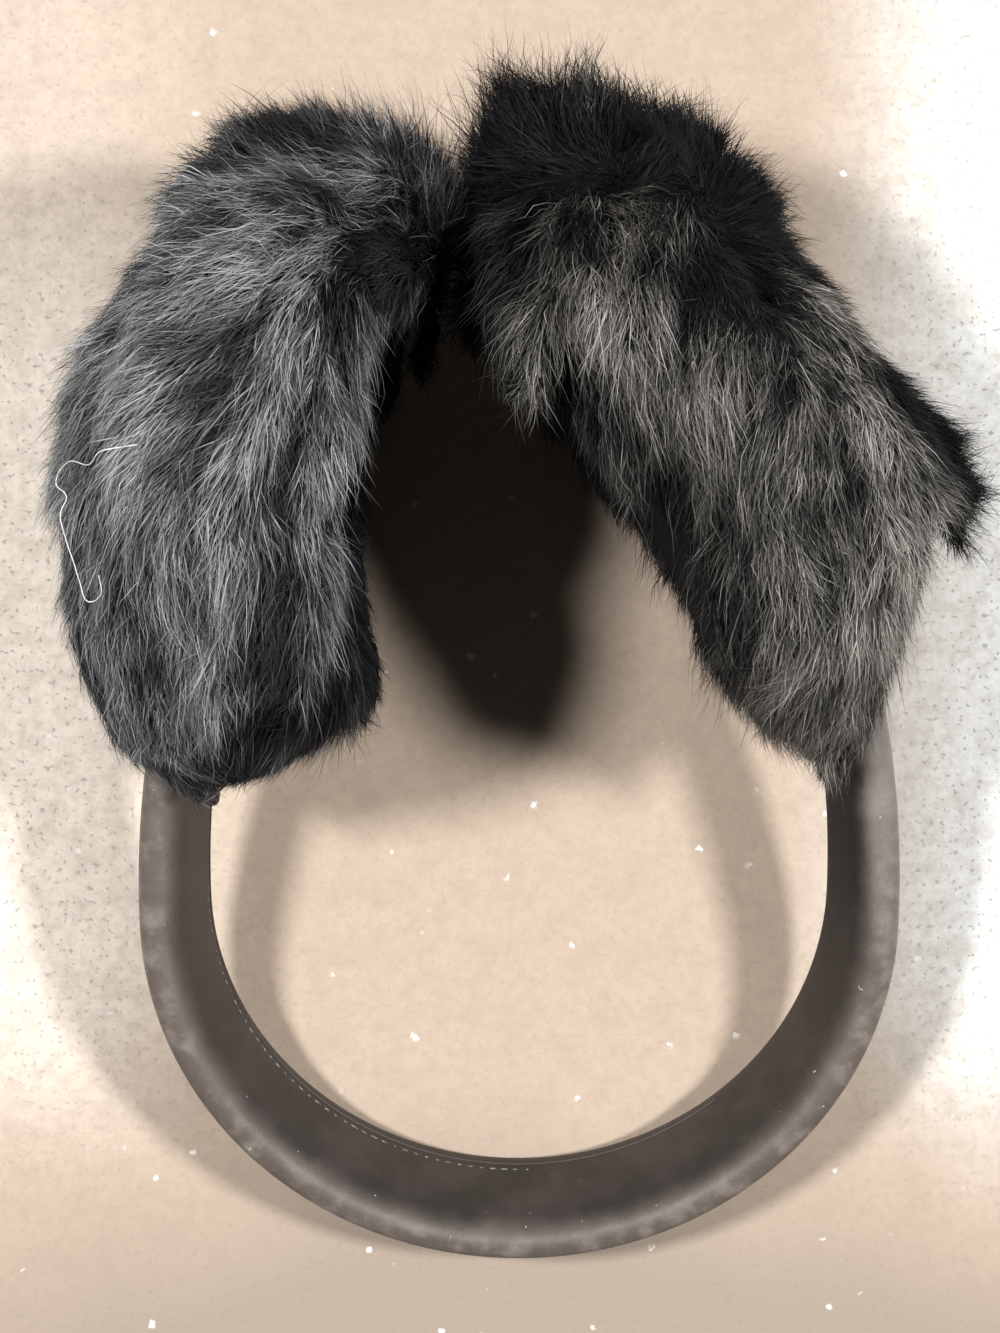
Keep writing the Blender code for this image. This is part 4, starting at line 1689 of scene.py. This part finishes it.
@dataclass
class EarLining:
    """The plush disc on the face of a pad that lies on the ear.

    Attributes:
        side: Which pad it is on.
        centre: Its middle.
        toe_in: How far its ear side turns towards the crown of the headband.
        plush: Its finish.
        radius, thickness: Its size.
        crown: How far its middle swells.
        soft_edge: The radius of its edge, as a share of its thickness.
        rings, spokes: How finely it is made.
    """

    side: Side
    centre: Vector
    toe_in: float
    plush: PeltFinish
    radius: float = 0.034
    thickness: float = 0.006
    crown: float = 0.0012
    soft_edge: float = 0.32
    rings: int = 26
    spokes: int = 72

    def node(self) -> str:
        """The CAD node that this lining stands for."""
        return f"{self.side.value}_ear_lining"

    def place(self) -> Matrix:
        """The lining's frame: Z points at the ear, Y up."""
        inward = 1.0 if self.side is Side.LEFT else -1.0
        ear = Vector((inward * math.cos(self.toe_in), -math.sin(self.toe_in), 0))
        up = Vector((0, 0, 1))
        frame = Matrix.Translation(self.centre)
        across = up.cross(ear)
        for i in range(3):
            frame[i][:3] = across[i], up[i], ear[i]
        return frame

    def build(self) -> None:
        """Builds the domed disc."""
        bm = bmesh.new()
        made = []
        for out, height in self.profile():
            ring = []
            for i in range(self.spokes):
                turn = 2 * math.pi * i / self.spokes
                ring.append(bm.verts.new((out * math.cos(turn), out * math.sin(turn), height)))
            made.append(ring)
        for low, high in zip(made, made[1:]):
            for i in range(self.spokes):
                j = (i + 1) % self.spokes
                bm.faces.new((low[i], low[j], high[j], high[i]))
        bm.faces.new(made[-1])
        bm.faces.new(reversed(made[0]))
        bmesh.ops.transform(bm, matrix=self.place(), verts=bm.verts)
        bmesh.ops.recalc_face_normals(bm, faces=bm.faces)
        mesh = bpy.data.meshes.new(f"{self.side.value}_plush")
        bm.to_mesh(mesh)
        bm.free()
        mesh.shade_smooth()
        piece = link(f"{self.side.value}_plush", mesh)
        mesh.materials.append(self.plush.make())
        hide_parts(self.node())
        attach(piece, "root")
        LOG.info("%s: %d triangles", piece.name, triangles(piece.data))

    def profile(self) -> list[tuple[float, float]]:
        """Radius and height of each ring, from the middle of the back round to the ear's side."""
        half = self.thickness / 2
        soft = self.thickness * self.soft_edge
        rows = [(self.radius * 0.55, -half), (self.radius * 0.94, -half)]
        for i in range(7):
            turn = -math.pi / 2 + math.pi * i / 6
            rows.append((self.radius - soft + soft * math.cos(turn), half * math.sin(turn)))
        for i in range(1, self.rings):
            share = 1 - i / self.rings
            rows.append(((self.radius - soft) * share, half + self.crown * (1 - share**2)))
        return rows


@dataclass
class LooseEnds:
    """A curled tab of hide under the left pad's fur and a loose thread lying on the pad.

    Attributes:
        thread_path: Where the thread runs, seen from above, in millimetres.
        thread_radius: Half the thread's thickness.
        feel: How far round each point of the thread the hair under it is felt for.
        steps: How many points the thread has between two points of its path.
        even_over: Over how many points its height is evened out.
        tab_place, tab_length, tab_width: Where the tab is, and its size.
        hide, lint: Their finishes.
    """

    thread_path: tuple = (
        (-67, 43), (-73, 42), (-76, 40), (-80, 41), (-83, 39), (-83, 37), (-81, 35),
        (-82, 31), (-80, 23), (-78, 17), (-75, 18), (-75, 22),
    )
    thread_radius: float = 0.0001
    feel: float = 0.0012
    steps: int = 5
    even_over: int = 7
    tab_place: Vector = field(default_factory=lambda: Vector((-0.0645, -0.0165, 0.0470)))
    tab_length: float = 0.0062
    tab_width: float = 0.0036
    hide: PeltFinish = PeltFinish("raw_hide", (0.018, 0.012, 0.010, 1), (0.075, 0.052, 0.044, 1))
    lint: ThreadFinish = ThreadFinish("white_lint", grey(0.62), grey(0.86))

    def build(self, coats: list[bpy.types.Object]) -> None:
        """Builds both on the left pad, the thread on top of its coats of hair."""
        for piece in (self.make_thread(coats), self.make_tab()):
            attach(piece, "root")
            LOG.info("%s: %d triangles", piece.name, triangles(piece.data))

    def lie(self, coats: list[bpy.types.Object]) -> np.ndarray:
        """Where the thread lies: along its path, on top of the hair.

        Args:
            coats: The coats of hair that it lies on.

        Returns:
            Its points, as rows of three numbers.
        """
        hair = np.concatenate([mesh_points(coat.data) for coat in coats])
        path = np.array(self.thread_path) * MM
        path = np.vstack((2 * path[0] - path[1], path, 2 * path[-1] - path[-2]))
        rows = []
        for before, start, end, after in zip(path, path[1:], path[2:], path[3:]):
            for share in np.arange(self.steps) / self.steps:
                bend = (2 * before - 5 * start + 4 * end - after) * share**2
                bend += (3 * start - before - 3 * end + after) * share**3
                place = start + 0.5 * ((end - before) * share + bend)
                near = np.linalg.norm(hair[:, :2] - place, axis=1) < self.feel
                rows.append((*place, hair[near, 2].max()))
        points = np.array(rows)
        ends = np.pad(points[:, 2], self.even_over // 2, mode="edge")
        even = np.full(self.even_over, 1 / self.even_over)
        points[:, 2] = np.convolve(ends, even, mode="valid")
        return points

    def make_thread(self, coats: list[bpy.types.Object]) -> bpy.types.Object:
        """Lays a fine thread over the fur and sweeps it with Geometry Nodes."""
        points = self.lie(coats)
        curve = bpy.data.curves.new("thread_route", "CURVE")
        curve.dimensions = "3D"
        spline = curve.splines.new("POLY")
        spline.points.add(len(points) - 1)
        for target, point in zip(spline.points, points):
            target.co = (*point, 1)
        guide = link("thread_route", curve)
        tree = GeometryTree(
            "thread_tree",
            {
                "Radius": ("number", self.thread_radius),
                "Rings": ("count", 120),
                "Material": ("material", self.lint.make()),
            },
        )
        bench = tree.bench
        bent = bench.add(
            "GeometryNodeCurveSplineType", {"spline_type": "CATMULL_ROM"},
            {"Curve": tree.given("Geometry")},
        ).wire("Curve")
        even = bench.add(
            "GeometryNodeResampleCurve", None, {"Curve": bent, "Count": tree.given("Rings")}
        ).wire("Curve")
        ring = bench.add(
            "GeometryNodeCurvePrimitiveCircle",
            {"mode": "RADIUS"},
            {"Resolution": 5, "Radius": tree.given("Radius")},
        ).wire("Curve")
        tube = bench.add(
            "GeometryNodeCurveToMesh",
            None,
            {"Curve": even, "Profile Curve": ring, "Fill Caps": True},
        ).wire("Mesh")
        tree.end(tube)
        piece = tree.run("loose_thread", guide)
        bpy.data.objects.remove(guide)
        piece.data.shade_smooth()
        return piece

    def make_tab(self) -> bpy.types.Object:
        """Bends a short strip of hide into a curl, hanging from under the fur."""
        bm = bmesh.new()
        rows = []
        for i in range(17):
            share = i / 16
            half = self.tab_width / 2 * math.sqrt(1.03 - share**4)
            along = -self.tab_length * share
            rise = 0.0024 * share**3 + 0.0004 * math.sin(9 * share)
            row = [
                bm.verts.new((half * side, along, rise + 0.0013 * share * side * side))
                for side in (-1.0, -0.5, 0.0, 0.5, 1.0)
            ]
            rows.append(row)
        for low, high in zip(rows, rows[1:]):
            for j in range(4):
                bm.faces.new((low[j], low[j + 1], high[j + 1], high[j]))
        bm.normal_update()
        bmesh.ops.solidify(bm, geom=bm.faces[:], thickness=0.0005)
        bmesh.ops.recalc_face_normals(bm, faces=bm.faces)
        bmesh.ops.rotate(bm, matrix=Matrix.Rotation(0.45, 3, "Z"), verts=bm.verts)
        bmesh.ops.translate(bm, vec=self.tab_place, verts=bm.verts)
        mesh = bpy.data.meshes.new("hide_tab")
        bm.to_mesh(mesh)
        bm.free()
        mesh.shade_smooth()
        mesh.materials.append(self.hide.make())
        return link("hide_tab", mesh)


@dataclass
class Studio:
    """The floor, the two soft lights and the camera above.

    Attributes:
        camera_place, lens: Where the camera is, and its focal length in millimetres.
        left_lamp, right_lamp, lamp_size: Where the lamps are, and how wide.
        left_power, right_power: Their power in watts.
        sky: The strength of the even light from all round.
    """

    camera_place: Vector = field(default_factory=lambda: Vector((-0.0055, 0.0054, 0.600)))
    lens: float = 74.94
    left_lamp: Vector = field(default_factory=lambda: Vector((-0.50, 0.13, 1.1)))
    right_lamp: Vector = field(default_factory=lambda: Vector((0.64, 0.07, 1.1)))
    lamp_size: float = 0.17
    left_power: float = 14.5
    right_power: float = 15.5
    sky: float = 0.045

    def build(self) -> None:
        """Builds the room that the earmuffs are seen in."""
        self.make_floor()
        self.make_camera()
        self.make_lamp("left_lamp", self.left_lamp, self.left_power)
        self.make_lamp("right_lamp", self.right_lamp, self.right_power)
        world = bpy.data.worlds.new("soft_room")
        world.use_nodes = True
        sky = world.node_tree.nodes["Background"]
        sky.inputs["Color"].default_value = (1.0, 0.985, 0.96, 1.0)
        sky.inputs["Strength"].default_value = self.sky
        bpy.context.scene.world = world
        bpy.context.scene.view_settings.view_transform = "Standard"

    def make_floor(self) -> None:
        """A flat floor that fills every view."""
        bm = bmesh.new()
        bmesh.ops.create_grid(bm, x_segments=2, y_segments=2, size=3.0)
        mesh = bpy.data.meshes.new("floor")
        bm.to_mesh(mesh)
        bm.free()
        floor = link("floor", mesh)
        mesh.materials.append(FloorFinish().make())

    def make_lamp(self, name: str, place: Vector, power: float) -> None:
        """A soft round lamp above one side of the floor, turned to the earmuffs."""
        data = bpy.data.lights.new(name, "AREA")
        data.shape = "DISK"
        data.size = self.lamp_size
        data.energy = power
        lamp = link(name, data)
        lamp.location = place
        lamp.rotation_euler = (Vector((0, 0, 0.05)) - place).to_track_quat("-Z", "Y").to_euler()

    def make_camera(self) -> None:
        """The camera, which looks straight down."""
        data = bpy.data.cameras.new("camera")
        data.lens = self.lens
        data.sensor_width = 36.0
        data.clip_start = 0.01
        camera = link("camera", data)
        camera.location = self.camera_place
        bpy.context.scene.camera = camera


def main() -> None:
    """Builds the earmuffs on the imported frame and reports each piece."""
    logging.basicConfig(level=logging.INFO, format="%(name)s %(message)s")
    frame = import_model()
    Studio().build()
    Headband().build()
    # Both pads wear the same black fur; the two hair finishes differ in painted sheen and shade,
    # cooler on the left, warmer and darker on the right
    cool = HairFinish(
        "left_hair", grey(0.004), (0.0130, 0.0140, 0.0165, 1), (0.200, 0.203, 0.206, 1),
        (0.43, 0.435, 0.445, 1),
    )
    warm = HairFinish(
        "right_hair", grey(0.003), (0.0050, 0.0053, 0.0064, 1), (0.158, 0.148, 0.130, 1),
        (0.41, 0.39, 0.355, 1),
    )
    plush = PeltFinish("black_plush", (0.003, 0.003, 0.004, 1), (0.009, 0.009, 0.011, 1))
    linings = {}
    for side in Side:
        low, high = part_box(f"{side.value}_ear_lining")
        linings[side] = (low + high) / 2
    toe_in = {Side.LEFT: math.radians(17.5), Side.RIGHT: math.radians(22.5)}
    left_skin, right_skin = PeltFinish("left_skin"), PeltFinish("right_skin")
    left = FurPad(
        Side.LEFT, LEFT_GUIDES, linings[Side.LEFT], 101, cool, left_skin, LEFT_FOLDS, LEFT_SNAGS
    )
    LooseEnds().build(left.build(frame))
    right = FurPad(
        Side.RIGHT, RIGHT_GUIDES, linings[Side.RIGHT], 202, warm, right_skin, RIGHT_FOLDS,
        RIGHT_SNAGS,
    )
    right.build(frame)
    for side in Side:
        EarLining(side, linings[side], toe_in[side], plush).build()


if __name__ == "__main__":
    main()
